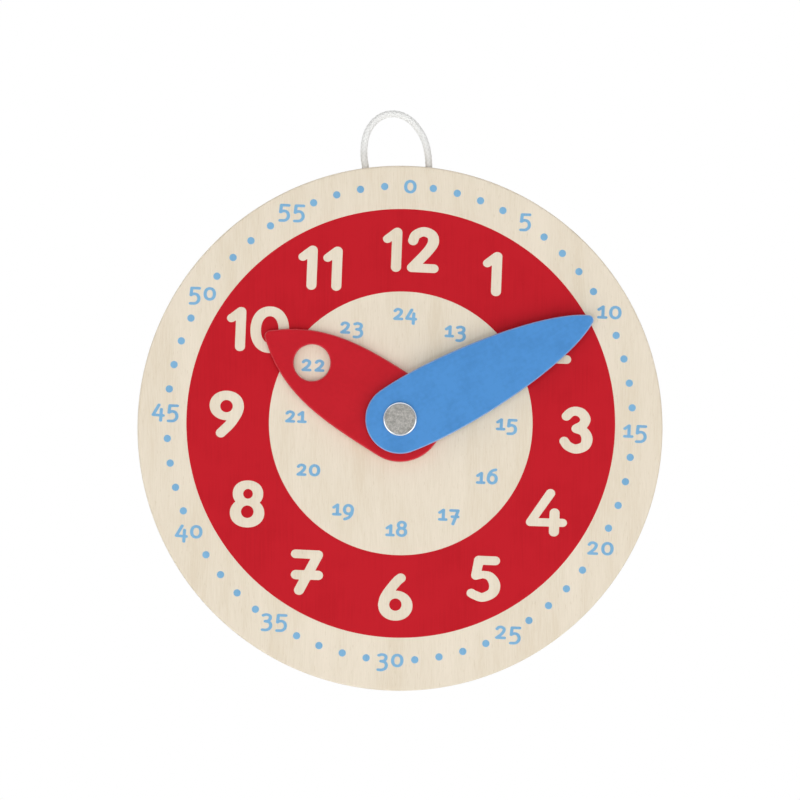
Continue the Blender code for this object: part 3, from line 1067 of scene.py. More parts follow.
@dataclass
class Pen:
    """A pen that draws figures: an ellipse carried along each stroke."""

    half_width: float
    half_height: float
    cell: float
    ring_points: int = 97

    def path(self, stroke: Stroke) -> np.ndarray:
        """The middle line of a stroke.

        A ring's point at angle a is its middle plus (half width * c, half height * s), where c
        and s are cos a and sin a raised, sign kept, to 2 over its squareness.

        Args:
            stroke: the stroke.

        Returns:
            Across, up and the pen's share, one point a row.
        """
        kind, numbers = stroke
        if kind is Line.CURVE:
            return smooth_line(np.array([tuple(p) + (1.0,) * (3 - len(p)) for p in numbers], float))
        x, y, wide, high, square = numbers
        angle = np.linspace(0.0, 2.0 * math.pi, self.ring_points)
        cos, sin = np.cos(angle), np.sin(angle)
        power = 2.0 / square
        across, up = np.sign(cos) * np.abs(cos) ** power, np.sign(sin) * np.abs(sin) ** power
        return np.stack([x + wide * across, y + high * up, np.ones(self.ring_points)], 1)

    def line_field(self, line: np.ndarray, grid: np.ndarray) -> np.ndarray:
        """How far outside a drawn line each grid point lies, below 0 in the ink.

        Squeezed so that the pen is a circle of radius 1, it is the least distance to the line
        over the pen's share there, less 1.

        Args:
            line: across, up and the pen's share, one point a row.
            grid: the grid points.

        Returns:
            One value for each grid point.
        """
        pen = np.array([self.half_width, self.half_height])
        start, step = line[:-1, :2] / pen, np.diff(line[:, :2] / pen, axis=0)
        away = grid[:, None, :] / pen - start
        share = np.clip((away * step).sum(2) / np.maximum((step ** 2).sum(1), 1e-12), 0.0, 1.0)
        gap = np.sqrt(((away - share[..., None] * step) ** 2).sum(2))
        return (gap / (line[:-1, 2] + share * np.diff(line[:, 2]))).min(1) - 1.0

    def draw(self, strokes: list[Stroke], scale: float = 1.0) -> Outline:
        """The outline of a figure drawn with the pen.

        On a grid, the ink is where any line's field is below 0, or the p-th root of
        (|x| / half width)^p + (|y| / half height)^p, about a bowl's middle and with its squareness
        p, is below 1; a counter takes away where its own is. The outline crosses each grid line
        where the field, taken as even between two corners, is 0.

        Args:
            strokes: the figure's strokes.
            scale: millimetres for each unit of the strokes.

        Returns:
            The outline, in millimetres.
        """
        sized = [self.path(s) * [scale, scale, 1.0] for s in strokes]
        every = np.vstack(sized)[:, :2]
        # The widest pen share is 1.1, so that 1.2 and three cells keep the grid's edge bare.
        margin = 1.2 * max(self.half_width, self.half_height) + 3 * self.cell
        xs = np.arange(every[:, 0].min() - margin, every[:, 0].max() + margin, self.cell)
        ys = np.arange(every[:, 1].min() - margin, every[:, 1].max() + margin, self.cell)
        grid = np.stack(np.meshgrid(xs, ys), 2).reshape(-1, 2)
        ink, opening = np.full(len(grid), np.inf), np.full(len(grid), np.inf)
        for (kind, numbers), line in zip(strokes, sized):
            if kind in (Line.CURVE, Line.RING):
                ink = np.minimum(ink, self.line_field(line, grid))
                continue
            x, y, wide, high = (scale * n for n in numbers[:4])
            square = numbers[4]
            round_form = (
                (np.abs(grid[:, 0] - x) / wide) ** square
                + (np.abs(grid[:, 1] - y) / high) ** square
            ) ** (1.0 / square) - 1.0
            if kind is Line.BOWL:
                ink = np.minimum(ink, round_form)
            else:
                opening = np.minimum(opening, round_form)
        return self.trace(np.maximum(ink, -opening).reshape(len(ys), len(xs)), xs, ys)

    def trace(self, field_here: np.ndarray, xs: np.ndarray, ys: np.ndarray) -> Outline:
        """The line where a field on a grid is zero (marching squares).

        Args:
            field_here: the field, one row for each y.
            xs: the grid's x values.
            ys: the grid's y values.

        Returns:
            The outline.
        """
        inside = field_here < 0
        flat = inside[:, 1:] != inside[:, :-1]
        tall = inside[1:] != inside[:-1]
        flat_number = np.full(flat.shape, -1)
        flat_number[flat] = np.arange(flat.sum())
        tall_number = np.full(tall.shape, -1)
        tall_number[tall] = flat.sum() + np.arange(tall.sum())
        row, column = np.nonzero(flat)
        a, b = field_here[row, column], field_here[row, column + 1]
        on_flat = np.stack([xs[column] + a / (a - b) * self.cell, ys[row]], 1)
        row, column = np.nonzero(tall)
        a, b = field_here[row, column], field_here[row + 1, column]
        on_tall = np.stack([xs[column], ys[row] + a / (a - b) * self.cell], 1)
        around = np.stack(
            [flat_number[:-1], tall_number[:, 1:], flat_number[1:], tall_number[:, :-1]], 2
        ).reshape(-1, 4)
        crossed = (around >= 0).sum(1)
        simple = around[crossed == 2]
        pairs = [simple[simple >= 0].reshape(-1, 2)]
        saddle = around[crossed == 4]
        pairs += [saddle[:, [0, 1]], saddle[:, [2, 3]]]
        return Outline(np.vstack([on_flat, on_tall]), np.vstack(pairs))


# ---------------------------------------------------------------- sub-assemblies


@dataclass
class DialBoard:
    """The round plywood board with its pivot hole, the rivet's recess and two cord holes."""

    radius: float = 0.105
    thickness: float = 0.006
    ease: float = 0.0008
    bore_radius: float = 0.0028
    recess_radius: float = 0.007
    recess_depth: float = 0.0018
    cord_hole_radius: float = 0.00147
    cord_hole_depth: float = 0.012
    cord_places: tuple[float, float] = (-0.0139, 0.01155)
    sides: int = 512
    drill_sides: int = 48
    drill_overshoot: float = 0.004
    finish: BirchPlywood = field(default_factory=BirchPlywood)

    def build(self) -> Object:
        """Builds the board as one closed profile carried round, and drills the cord holes.

        Returns:
            The board.
        """
        front, flat = -self.thickness, self.radius - self.ease - HAIR
        edge = eased_rim(self.radius, front, 0.0, self.ease)
        rim = np.vstack([[[flat, front]], edge, [[flat, 0.0]]])
        hole = np.array([
            [self.recess_radius, 0.0], [self.recess_radius, -self.recess_depth],
            [self.bore_radius, -self.recess_depth], [self.bore_radius, front],
        ])
        middles = np.vstack([np.tile(BOARD_CENTRE, (len(rim), 1)), np.tile(PIVOT, (len(hole), 1))])
        points, faces = turned_shell(np.vstack([rim, hole]), middles, self.sides, True)
        board = make_piece("birch_dial_board", points, faces, self.finish.build())
        self.drill(board)
        return board

    def drill(self, board: Object) -> None:
        """Cuts the two upright blind holes that the cord's ends are glued in.

        Args:
            board: the board.
        """
        sides, angle = self.drill_sides, angles_round(self.drill_sides)
        shells, faces = [], []
        for number, across in enumerate(self.cord_places):
            rim = BOARD_CENTRE[1] + math.sqrt(self.radius ** 2 - across ** 2)
            ends = np.array([[rim - self.cord_hole_depth], [rim + self.drill_overshoot]])
            x = across + self.cord_hole_radius * np.cos(angle)
            y = -self.thickness / 2 + self.cord_hole_radius * np.sin(angle)
            shells.append(np.stack(np.broadcast_arrays(x, y, ends), 2).reshape(-1, 3))
            lower = np.arange(sides) + 2 * sides * number
            faces += (sheet_faces(2, sides, False) + lower[0]).tolist()
            faces += [lower[::-1].tolist(), (lower + sides).tolist()]
        mesh = bpy.data.meshes.new("cord_drill")
        mesh.from_pydata(np.vstack(shells).tolist(), [], faces)
        drill = in_scene("cord_drill", mesh)
        cut = board.modifiers.new("cord_holes", "BOOLEAN")
        cut.operation = "DIFFERENCE"
        cut.solver = "EXACT"
        cut.object = drill
        bpy.context.view_layer.update()
        shaped = board.evaluated_get(bpy.context.evaluated_depsgraph_get())
        drilled = bpy.data.meshes.new_from_object(shaped)
        board.modifiers.clear()
        board.data = drilled
        drilled.set_sharp_from_angle(angle=math.radians(SHARP))
        bpy.data.objects.remove(drill)

    def dress(self, board: Object) -> None:
        """Ties the board to the clock body in place of its solid."""
        place_piece(board, Body.CLOCK, "dial_board")


@dataclass
class DialPrint:
    """The printed dial: the red hour band with its figures left bare, the pale-blue minutes
    round it and the pale-blue afternoon hours inside it."""

    front: float = -0.00603
    back: float = -0.00598
    band_outer: float = 85.7
    band_inner: float = 52.7
    outer_sides: int = 512
    inner_sides: int = 384
    dot_sides: int = 28
    dot_radius: float = 1.46
    dot_middle: tuple[float, float] = (-0.4, 0.1)
    dot_across: float = 93.1
    dot_up: float = 94.8
    unit: float = 0.3997
    afternoon_share: float = 0.885
    half_line: float = 5.4
    pitch: float = 14.7
    narrow_pitch: float = 11.6
    hour_pen: Pen = field(default_factory=lambda: Pen(2.02, 1.86, 0.25))
    small_pen: Pen = field(default_factory=lambda: Pen(0.65, 0.53, 0.11))
    red: ScreenInk = field(
        default_factory=lambda: ScreenInk("screen_ink_red", "#C51A27", "#BF1724")
    )
    blue: ScreenInk = field(
        default_factory=lambda: ScreenInk("screen_ink_pale_blue", "#82B6DC", "#7AAED5")
    )
    hours: tuple[tuple[str, float, float], ...] = (
        ("1", 36.83, 59.70), ("1", -3.13, 69.43), ("2", 8.78, 69.22), ("1", -36.94, 62.27),
        ("1", -27.00, 61.87), ("1", -65.50, 37.74), ("0", -52.37, 37.45), ("2", 61.8, 32.9),
        ("3", 69.97, -2.70), ("4", 58.23, -35.79), ("5", 33.23, -62.06), ("6", -2.20, -69.39),
        ("7", -37.51, -59.41), ("8", -61.40, -32.20), ("9", -69.61, 3.66),
    )
    minutes: tuple[tuple[str, float, float], ...] = (
        ("0", 3.84, 94.63), ("5", 49.89, 81.36), ("10", 83.47, 44.37), ("15", 93.86, -3.20),
        ("20", 79.69, -50.00), ("25", 42.86, -83.70), ("30", -4.34, -94.68), ("35", -50.56, -78.70),
        ("40", -84.68, -43.23), ("45", -93.94, 5.12), ("50", -79.27, 51.88), ("55", -43.46, 85.03),
    )
    afternoon: tuple[tuple[str, float, float], ...] = (
        ("13", 22.00, 36.70), ("14", 37.9, 20.3), ("15", 42.51, -0.50),
        ("16", 34.53, -21.90), ("17", 19.36, -36.62), ("18", -1.70, -42.84),
        ("19", -22.97, -34.55), ("20", -37.05, -18.66), ("21", -42.14, 2.66),
        ("22", -35.07, 23.14), ("23", -19.58, 38.15), ("24", 1.61, 43.58),
    )

    def film(self, name: str, outlines: list[Outline], finish: ScreenInk) -> Object:
        """Makes a film of ink between outlines, sunk by its back in the board's face.

        Args:
            name: the piece's name.
            outlines: the outlines in millimetres about the print's middle.
            finish: its ink.

        Returns:
            The film.
        """
        flat, triangles = fill_outlines(outlines)
        x, z = PRINT_CENTRE[0] + flat[:, 0] * MM, PRINT_CENTRE[1] + flat[:, 1] * MM
        levels = [np.stack([x, np.full(len(x), y), z], 1) for y in (self.front, self.back)]
        points, faces = slab(levels, triangles)
        return make_piece(name, points, faces, finish.build())

    def numbers(self, table: tuple[tuple[str, float, float], ...], share: float) -> list[Outline]:
        """Sets a scale's numbers, each about its own middle and turned with the print.

        Args:
            table: number, right and up of each.
            share: its size against the minute scale's.

        Returns:
            The outlines of all its figures.
        """
        size = self.unit * share
        drawn = {f: self.small_pen.draw(strokes, size) for f, strokes in SMALL_FIGURES.items()}
        placed = []
        for text, right, up in table:
            widths = [self.narrow_pitch if f == "1" else self.pitch for f in text]
            edge = -sum(widths) / 2
            for figure, width in zip(text, widths):
                shift = ((edge + width / 2) * size, -self.half_line * size)
                placed.append(drawn[figure].moved(0.0, shift).moved(PRINT_TURN, (right, up)))
                edge += width
        return placed

    def dots(self) -> list[Outline]:
        """The minute dots: 48 of the 60 places on an ellipse, none at the numbers.

        Returns:
            One circle for each dot.
        """
        turns = [math.radians(6 * k) + PRINT_TURN for k in range(60) if k % 5]
        x, y = self.dot_middle
        places = [(x + self.dot_across * math.sin(a), y + self.dot_up * math.cos(a)) for a in turns]
        return [circle(self.dot_radius, place, self.dot_sides) for place in places]

    def build(self) -> list[Object]:
        """Builds the three films.

        Returns:
            The red band, the minute scale and the afternoon scale.
        """
        drawn = {f: self.hour_pen.draw(strokes) for f, strokes in HOUR_FIGURES.items()}
        bare = [drawn[f].moved(PRINT_TURN, (x, y)) for f, x, y in self.hours]
        band = [
            circle(self.band_outer, (0.0, 0.0), self.outer_sides),
            circle(self.band_inner, (0.0, 0.0), self.inner_sides),
        ]
        minute_scale = self.dots() + self.numbers(self.minutes, 1.0)
        afternoon_scale = self.numbers(self.afternoon, self.afternoon_share)
        return [
            self.film("printed_hour_band", band + bare, self.red),
            self.film("printed_minute_scale", minute_scale, self.blue),
            self.film("printed_afternoon_hours", afternoon_scale, self.blue),
        ]

    def dress(self, films: list[Object]) -> None:
        """Ties the films to the clock body."""
        for film, slot in zip(films, (Slot.RED, Slot.BLUE, Slot.BLUE)):
            place_piece(film, Body.CLOCK)


@dataclass
class Hand:
    """A wooden hand: a round tail, sides that swell and draw in, and a small round tip."""

    name: str
    node: str
    body: Body
    slot: Slot
    finish: SprayedLacquer
    clockwise: float
    length: float
    tail_radius: float
    tip_radius: float
    flare: float
    taper: float
    tail_pull: float
    tip_pull: float
    front: float
    thickness: float = 0.003
    ease: float = 0.0008
    bore_radius: float = 0.0028
    bore_ease: float = 0.00005
    window_distance: float = 0.0
    window_radius: float = 0.0
    tail_points: int = 72
    side_points: int = 121
    tip_points: int = 28
    hole_sides: int = 112

    def outline(self) -> np.ndarray:
        """The hand's outline, across and along it, from the tail's bottom up its right side.

        The tail is an arc about the pivot, the side a cubic whose end handles point along the
        tail's and the tip's own directions, and the tip an arc; the left side is their mirror.

        Returns:
            The points, one a row.
        """
        flare, taper = math.radians(self.flare), math.radians(self.taper)
        arc = np.linspace(-math.pi / 2, -flare, self.tail_points)
        tail = self.tail_radius * np.stack([np.cos(arc), np.sin(arc)], 1)
        tip_middle = np.array([0.0, self.length - self.tip_radius])
        near = tail[-1]
        far = tip_middle + self.tip_radius * np.array([math.cos(taper), math.sin(taper)])
        reach = float(np.linalg.norm(far - near))
        first = near + self.tail_pull * reach * np.array([math.sin(flare), math.cos(flare)])
        second = far - self.tip_pull * reach * np.array([-math.sin(taper), math.cos(taper)])
        t = np.linspace(0.0, 1.0, self.side_points)[1:-1, None]
        side = (
            (1 - t) ** 3 * near + 3 * (1 - t) ** 2 * t * first
            + 3 * (1 - t) * t ** 2 * second + t ** 3 * far
        )
        arc = np.linspace(taper, math.pi / 2, self.tip_points)
        tip = tip_middle + self.tip_radius * np.stack([np.cos(arc), np.sin(arc)], 1)
        right = np.vstack([tail, side, tip])
        left = right[-2:0:-1] * [-1.0, 1.0]
        return np.vstack([right, left])

    def build(self) -> Object:
        """Builds the hand as a slab whose outline draws in over its eased edges.

        At easing angle a, each outline point has moved in along its normal by ease * (1 - sin a)
        and lies ease * (1 - cos a) behind the face.

        Returns:
            The hand.
        """
        edge = self.outline()
        tangent = np.roll(edge, -1, 0) - np.roll(edge, 1, 0)
        normal = np.stack([tangent[:, 1], -tangent[:, 0]], 1)
        loops = [(edge, normal / np.linalg.norm(normal, axis=1)[:, None], self.ease)]
        holes = [(self.bore_radius, 0.0, self.bore_ease)]
        if self.window_radius:
            holes.append((self.window_radius, self.window_distance, self.ease))
        for radius, along, ease in holes:
            ring = circle(radius, (0.0, along), self.hole_sides).points
            loops.append((ring, (np.array([0.0, along]) - ring) / radius, ease))
        flat = np.vstack([loop[0] for loop in loops])
        out = np.vstack([loop[1] for loop in loops])
        ease = np.concatenate([np.full(len(loop[0]), loop[2]) for loop in loops])[:, None]
        angle = np.linspace(0.0, math.pi / 2, EASE_STEPS)
        inward = [ease + HAIR] + [ease * (1 - math.sin(a)) for a in angle]
        behind = [0.0 * ease] + [ease * (1 - math.cos(a)) for a in angle]
        levels = [self.placed(flat - i * out, self.front + b) for i, b in zip(inward, behind)]
        last = self.front + self.thickness
        levels += [
            self.placed(flat - i * out, last - b) for i, b in zip(inward[::-1], behind[::-1])
        ]
        face = flat - inward[0] * out
        starts = np.cumsum([0] + [len(loop[0]) for loop in loops])
        outlines = [
            Outline(face[a:b] / MM, loop_edges(b - a)) for a, b in zip(starts[:-1], starts[1:])
        ]
        _, triangles = fill_outlines(outlines)
        points, faces = slab(levels, triangles)
        return make_piece(self.name, points, faces, self.finish.build())

    def placed(self, flat: np.ndarray, depth: np.ndarray) -> np.ndarray:
        """Turns points of the hand's plane about the pivot to where the hand points.

        Args:
            flat: across and along the hand, one point a row.
            depth: the y of each.

        Returns:
            The points in the clock's frame.
        """
        turn = math.radians(self.clockwise)
        x = PIVOT[0] + flat[:, 1] * math.sin(turn) + flat[:, 0] * math.cos(turn)
        z = PIVOT[1] + flat[:, 1] * math.cos(turn) - flat[:, 0] * math.sin(turn)
        return np.stack([x, depth[:, 0], z], 1)

    def dress(self, hand: Object) -> None:
        """Ties the hand to its own body in place of its solid."""
        place_piece(hand, self.body, self.node)


@dataclass
class Rivet:
    """The two-part steel rivet that carries the hands, and the three nylon washers on it."""

    head_radius: float = 0.0067
    head_rim: float = 0.00035
    crown_arcs: tuple[tuple[float, float, float], ...] = (
        (0.0005, 0.0, 14.0), (0.0013, 14.0, 34.0), (0.00035, 34.0, 90.0),
    )
    head_front: float = -0.0151
    head_back: float = -0.0136
    shank_radius: float = 0.0025
    shank_end: float = -0.0016
    bore_radius: float = 0.0016
    bore_floor: float = -0.0096
    pin_radius: float = 0.0013
    pin_tip: float = -0.0093
    pin_chamfer: float = 0.0003
    flange_radius: float = 0.006
    flange_rim: float = 0.0003
    flange_front: float = -0.0013
    flange_back: float = -0.0003
    washer_radius: float = 0.006
    washer_bore: float = 0.0028
    washer_thickness: float = 0.0005
    washer_ease: float = 0.0001
    washer_steps: int = 4
    washer_fronts: tuple[tuple[str, float], ...] = (
        ("board_washer", -0.0065), ("hand_washer", -0.0103), ("back_washer", -0.0018),
    )
    sides: int = 128
    steel: TumbledSteel = field(default_factory=TumbledSteel)
    nylon: MouldedNylon = field(default_factory=MouldedNylon)

    def turned(
        self, name: str, profile: np.ndarray, material: bpy.types.Material, closed: bool = False
    ) -> Object:
        """Turns a profile about the pivot's axis.

        Args:
            name: the piece's name.
            profile: radius and y of each point.
            material: its finish.
            closed: whether the profile is a closed line off the axis.

        Returns:
            The piece.
        """
        points, faces = turned_shell(profile, np.tile(PIVOT, (len(profile), 1)), self.sides, closed)
        return make_piece(name, points, faces, material)

    def crown(self) -> np.ndarray:
        """The head's rim from its flat face outwards, as arcs that follow one another.

        On an arc of radius r from slope a to slope b, the point at slope t is its start plus
        r * (sin t - sin a) outwards and r * (cos a - cos t) back.

        Returns:
            Radius and y, one point a row.
        """
        steps = [np.zeros((1, 2))]
        for radius, low, high in self.crown_arcs:
            slope = np.radians(np.linspace(low, high, EASE_STEPS))
            out, back = np.sin(slope) - np.sin(slope[0]), np.cos(slope[0]) - np.cos(slope)
            arc = radius * np.stack([out, back], 1)
            steps.append(steps[-1][-1] + arc[1:])
        line = np.vstack(steps)
        return line + [self.head_radius - line[-1, 0], self.head_front]

    def build(self) -> dict[str, Object]:
        """Builds the post, the pin and the washers.

        Returns:
            Each piece by the solid that it stands for.
        """
        steel = self.steel.build()
        nylon = self.nylon.build()
        face = self.crown()
        edge = eased_rim(self.head_radius, self.head_front, self.head_back, self.head_rim)
        under = edge[EASE_STEPS:]
        post = np.vstack([
            [[0.0, self.head_front], [face[0, 0] - HAIR, self.head_front]], face, under,
            [[self.shank_radius, self.head_back], [self.shank_radius, self.shank_end],
             [self.bore_radius, self.shank_end], [self.bore_radius, self.bore_floor],
             [0.0, self.bore_floor]],
        ])
        flat = self.flange_radius - self.flange_rim - HAIR
        pin = np.vstack([
            [[0.0, self.pin_tip], [self.pin_radius - self.pin_chamfer, self.pin_tip],
             [self.pin_radius, self.pin_tip + self.pin_chamfer],
             [self.pin_radius, self.flange_front]],
            eased_rim(self.flange_radius, self.flange_front, self.flange_back, self.flange_rim),
            [[flat, self.flange_back], [0.0, self.flange_back]],
        ])
        made = {
            "rivet_post": self.turned("steel_rivet_post", post, steel),
            "rivet_pin": self.turned("steel_rivet_pin", pin, steel),
        }
        for node, front in self.washer_fronts:
            back = front + self.washer_thickness
            ring = np.vstack([
                eased_rim(self.washer_radius, front, back, self.washer_ease, self.washer_steps),
                [[self.washer_bore, back], [self.washer_bore, front]],
            ])
            made[node] = self.turned(f"nylon_{node}", ring, nylon, True)
        return made

    def dress(self, made: dict[str, Object]) -> None:
        """Ties each piece to the clock body in place of its solid.

        Args:
            made: each piece by the solid that it stands for.
        """
        for node, piece in made.items():
            place_piece(piece, Body.CLOCK, node)


@dataclass
class CordLoop:
    """The braided cord loop, glued by its ends in the board's two blind holes."""

    diameter: float = 0.0028
    relief: float = 0.00008
    depth: float = -0.003
    board_radius: float = 0.105
    hole_depth: float = 0.012
    end_gap: float = 0.0003
    plait_length: float = 0.0042
    strands_each_way: int = 5
    strand_fullness: float = 0.7
    strand_dip: float = 0.45
    strand_hump: float = 0.55
    middle_height: float = 0.75
    crease: float = 80.0
    route_steps: int = 24
    along: int = 720
    around: int = 60
    route: tuple[tuple[float, float], ...] = (
        (-.0139, -.0014), (-.0139, .0002), (-.0144, .0038), (-.01425, .0088), (-.0132, .0132),
        (-.0116, .0161), (-.0093, .0186), (-.0064, .0203), (-.0031, .0209), (.0003, .0204),
        (.0035, .0188), (.0063, .0162), (.0088, .0125), (.01035, .0087), (.01125, .0043),
        (.01155, .0002), (.01155, -.0014),
    )
    finish: BraidedCotton = field(default_factory=BraidedCotton)

    def rim(self, across: float) -> float:
        """The height of the board's rim at a distance from its middle."""
        return BOARD_CENTRE[1] + math.sqrt(self.board_radius ** 2 - across ** 2)

    def centreline(self) -> np.ndarray:
        """The cord's middle line, evenly spaced, from the floor of one hole to the other's.

        Returns:
            The points, one a row.
        """
        top = BOARD_CENTRE[1] + self.board_radius
        outside = [(x, top + up) for x, up in self.route]
        ends = [(x, self.rim(x) - self.hole_depth + self.end_gap)
                for x in (self.route[0][0], self.route[-1][0])]
        line = smooth_line(np.array([ends[0], *outside, ends[1]]), self.route_steps)
        distance = way_along(line)
        even = np.linspace(0.0, distance[-1], self.along)
        x, z = (np.interp(even, distance, line[:, axis]) for axis in (0, 1))
        return np.stack([x, np.full(self.along, self.depth), z], 1)

    def build(self) -> Object:
        """Builds the cord as a tube whose radius swells over each strand of the braid.

        Two families of strands wind opposite ways. With s the way along in plaits and v the
        strands passed going round, strand numbers are s + v and s - v. Where the two whole
        numbers add up to an even one the first family lies on top, otherwise the second. The
        height is the sine of the top strand's share across, times a lower hump along it.

        Returns:
            The cord.
        """
        line = self.centreline()
        tangent = np.gradient(line, axis=0)
        tangent /= np.linalg.norm(tangent, axis=1)[:, None]
        sideways = np.stack([tangent[:, 2], np.zeros(self.along), -tangent[:, 0]], 1)
        length = float(way_along(line)[-1])
        evenly = np.linspace(0.0, length, self.along)
        way, turn = np.meshgrid(evenly, angles_round(self.around), indexing="ij")
        s = way / self.plait_length * self.strands_each_way / 2
        v = turn / (2 * math.pi) * self.strands_each_way
        first, second = s + v, s - v
        first_on_top = (np.floor(first) + np.floor(second)) % 2 == 0
        across = np.where(first_on_top, first % 1.0, second % 1.0)
        run = np.where(first_on_top, second % 1.0, first % 1.0)
        hump = self.strand_dip + self.strand_hump * np.sin(math.pi * run)
        height = np.sin(math.pi * across) ** self.strand_fullness * hump
        radius = self.diameter / 2 + self.relief * (height - self.middle_height)
        tube = (
            line[:, None, :] + (radius * np.cos(turn))[..., None] * sideways[:, None, :]
            + (radius * np.sin(turn))[..., None] * np.array([0.0, 1.0, 0.0])
        )
        points = np.vstack([tube.reshape(-1, 3), line[:1], line[-1:]])
        faces = [sheet_faces(self.along, self.around, False), *end_fans(self.along, self.around)]
        cord = make_piece("braided_cord_loop", points, faces, self.finish.build(), self.crease)
        start = np.minimum(way, length - way) - self.hole_depth
        values = {"braid_height": height, "rim_distance": np.maximum(start, 0.0)}
        for name, value in values.items():
            layer = cord.data.attributes.new(name, "FLOAT", "POINT")
            layer.data.foreach_set("value", np.append(value.ravel(), [0.0, 0.0]).astype(np.float32))
        return cord

    def dress(self, cord: Object) -> None:
        """Args:
            cord: the cord.
        """
        place_piece(cord, Body.CLOCK, "hanging_cord")


@dataclass(frozen=True)
class Softbox:
    """A wide soft lamp in front of the clock, aimed at the middle of its dial."""

    name: str
    clockwise: float
    tilt: float
    share: float
    width: float
    height: float = 1.2
    distance: float = 2.4
    mirrored: bool = True

    def build(self, aim: Vector) -> None:
        """Sets up the lamp.

        It stands clockwise degrees from straight up, seen from the front, and tilt degrees off
        the dial's normal. A white dial sends back share of full white by it, for which the power
        is share * pi^2 * distance^2 / cos(tilt).

        Args:
            aim: the point that it faces.
        """
        turn, tilt = math.radians(self.clockwise), math.radians(self.tilt)
        data = bpy.data.lights.new(self.name, "AREA")
        data.shape = "RECTANGLE"
        data.size = self.width
        data.size_y = self.height
        data.energy = self.share * (math.pi * self.distance) ** 2 / math.cos(tilt)
        lamp = in_scene(self.name, data)
        across, up = math.sin(tilt) * math.sin(turn), math.sin(tilt) * math.cos(turn)
        away = Vector((across, -math.cos(tilt), up))
        lamp.location = aim + self.distance * away
        sideways = away.cross(Vector((0.0, 1.0, 0.0))).normalized()
        upward = away.cross(sideways)
        lamp.rotation_euler = Matrix((sideways, upward, away)).transposed().to_euler()
        # The camera stands in the front lamp's middle, so shiny faces mirror the room there.
        lamp.visible_glossy = self.mirrored
        log.info("%s: %.1f W", self.name, data.energy)


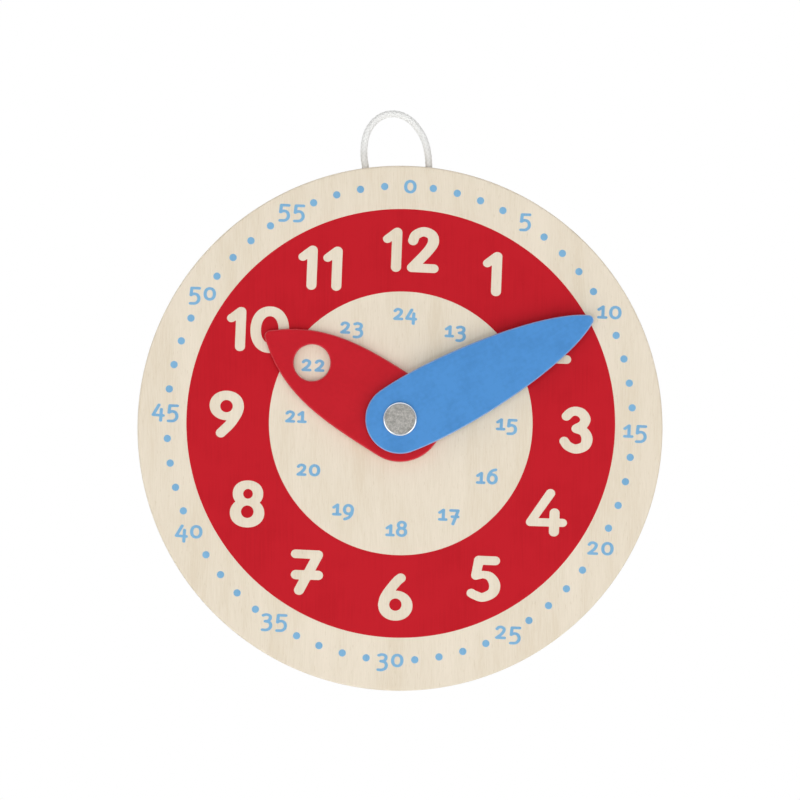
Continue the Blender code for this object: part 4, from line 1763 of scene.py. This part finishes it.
@dataclass
class Studio:
    """The camera, the lamps, the white surroundings and the pale floor."""

    distance: float = 1.6
    frame_width: float = 0.3198
    dial_depth: float = 0.006
    look_height: float = -0.1127
    sensor_width: float = 36.0
    clip_start: float = 0.05
    floor_drop: float = 1.9
    floor_radius: float = 4.0
    floor_sides: int = 96
    lamps: tuple[Softbox, ...] = (
        Softbox("low_left_lamp", -126.0, 41.0, 0.13, 1.6),
        Softbox("low_right_lamp", 122.0, 41.0, 0.12, 1.6),
        Softbox("top_lamp", -4.0, 52.0, 0.08, 4.0),
        Softbox("front_lamp", 180.0, 3.0, 0.37, 1.4, 1.4, mirrored=False),
    )
    room: float = 0.28
    room_mirrored: float = 0.45
    room_fade: tuple[float, float] = (-0.1, 0.3)
    mirrored_fade: tuple[float, float] = (-0.95, -0.35)
    finish: PaperFloor = field(default_factory=PaperFloor)

    def camera(self) -> None:
        """Sets the camera straight in front of the dial, the photograph's width across it."""
        data = bpy.data.cameras.new("camera")
        data.lens = self.sensor_width * (self.distance - self.dial_depth) / self.frame_width
        data.sensor_width = self.sensor_width
        data.clip_start = self.clip_start
        camera = in_scene("camera", data)
        camera.location = (0.0, -self.distance, self.look_height)
        camera.rotation_euler = (math.pi / 2, 0.0, 0.0)
        bpy.context.scene.camera = camera

    def surroundings(self) -> None:
        """Sets soft light from all round: white behind the clock, fading to the dimmer room in
        front of it, of which shiny faces mirror only the part straight ahead of the dial. The
        camera sees it all as white."""
        world = bpy.data.worlds.new("white_studio")
        world.use_nodes = True
        tree = world.node_tree
        tree.nodes.clear()
        ahead = add(tree, "SeparateXYZ", {0: add(tree, "TexCoord", out="Generated")}, "Y")
        round_about, mirrored = (
            add(tree, "MapRange", {
                "From Min": low, "From Max": high, "To Min": dimmest, "To Max": 1.0, "Value": ahead,
            })
            for (low, high), dimmest in (
                (self.room_fade, self.room), (self.mirrored_fade, self.room_mirrored),
            )
        )
        unseen = add(tree, "Mix", {
            "data_type": "FLOAT", 0: add(tree, "LightPath", out="Is Glossy Ray"),
            2: round_about, 3: mirrored,
        })
        strength = add(tree, "Mix", {
            "data_type": "FLOAT", 0: background_rays(tree, False), 2: unseen, 3: 1.0,
        })
        light = add(tree, "Background", {"Color": WHITE, "Strength": strength})
        add(tree, "OutputWorld", {"Surface": light})
        bpy.context.scene.world = world

    def floor(self) -> None:
        """Lays a round sheet of paper below the clock, under the photograph's frame."""
        angle = angles_round(self.floor_sides)
        height = np.full(self.floor_sides, self.look_height - self.floor_drop)
        x, y = self.floor_radius * np.cos(angle), self.floor_radius * np.sin(angle)
        mesh = bpy.data.meshes.new("paper_floor")
        mesh.from_pydata(np.stack([x, y, height], 1).tolist(), [], [list(range(self.floor_sides))])
        mesh.materials.append(self.finish.build())
        floor = in_scene("paper_floor", mesh)

    def build(self) -> None:
        """Sets up everything but the clock."""
        bpy.context.scene.view_settings.view_transform = "Standard"
        self.camera()
        self.surroundings()
        for lamp in self.lamps:
            lamp.build(Vector((0.0, 0.0, self.look_height)))
        self.floor()
        log.info("studio: camera at %.2f m", self.distance)


def hands() -> list[Hand]:
    """The two hands, set to ten past ten.

    Returns:
        The hour hand and the minute hand.
    """
    hour = Hand(
        name="red_hour_hand", node="hour_hand", body=Body.HOUR, slot=Slot.RED,
        # The lacquer's third colour is the painted highlight on the eased edges.
        finish=SprayedLacquer(
            "satin_lacquer_red", "#C61525", "#C01222", "#D23E47", PIVOT,
            math.radians(HOUR_CLOCKWISE),
        ),
        clockwise=HOUR_CLOCKWISE, length=0.0637, tail_radius=0.0171, tip_radius=0.0024,
        flare=0.5, taper=40.0, tail_pull=0.433, tip_pull=0.359, front=-0.00965,
        window_distance=0.0417, window_radius=0.0073,
    )
    minute = Hand(
        name="blue_minute_hand", node="minute_hand", body=Body.MINUTE, slot=Slot.BLUE,
        # The lacquer's third colour is the painted highlight on the eased edges.
        finish=SprayedLacquer(
            "satin_lacquer_blue", "#5093D6", "#4A8BCC", "#93B0E0", PIVOT,
            math.radians(MINUTE_CLOCKWISE),
        ),
        clockwise=MINUTE_CLOCKWISE, length=0.0868, tail_radius=0.0138, tip_radius=0.002,
        flare=7.5, taper=33.2, tail_pull=0.27, tip_pull=0.217, front=-0.01345,
    )
    return [hour, minute]


def main() -> None:
    """Builds the studio and the clock piece by piece."""
    logging.basicConfig(level=logging.INFO, format="%(name)s: %(message)s")
    Studio().build()
    for part in (CordLoop(), DialBoard(), DialPrint(), Rivet(), *hands()):
        part.dress(part.build())


if __name__ == "__main__":
    main()
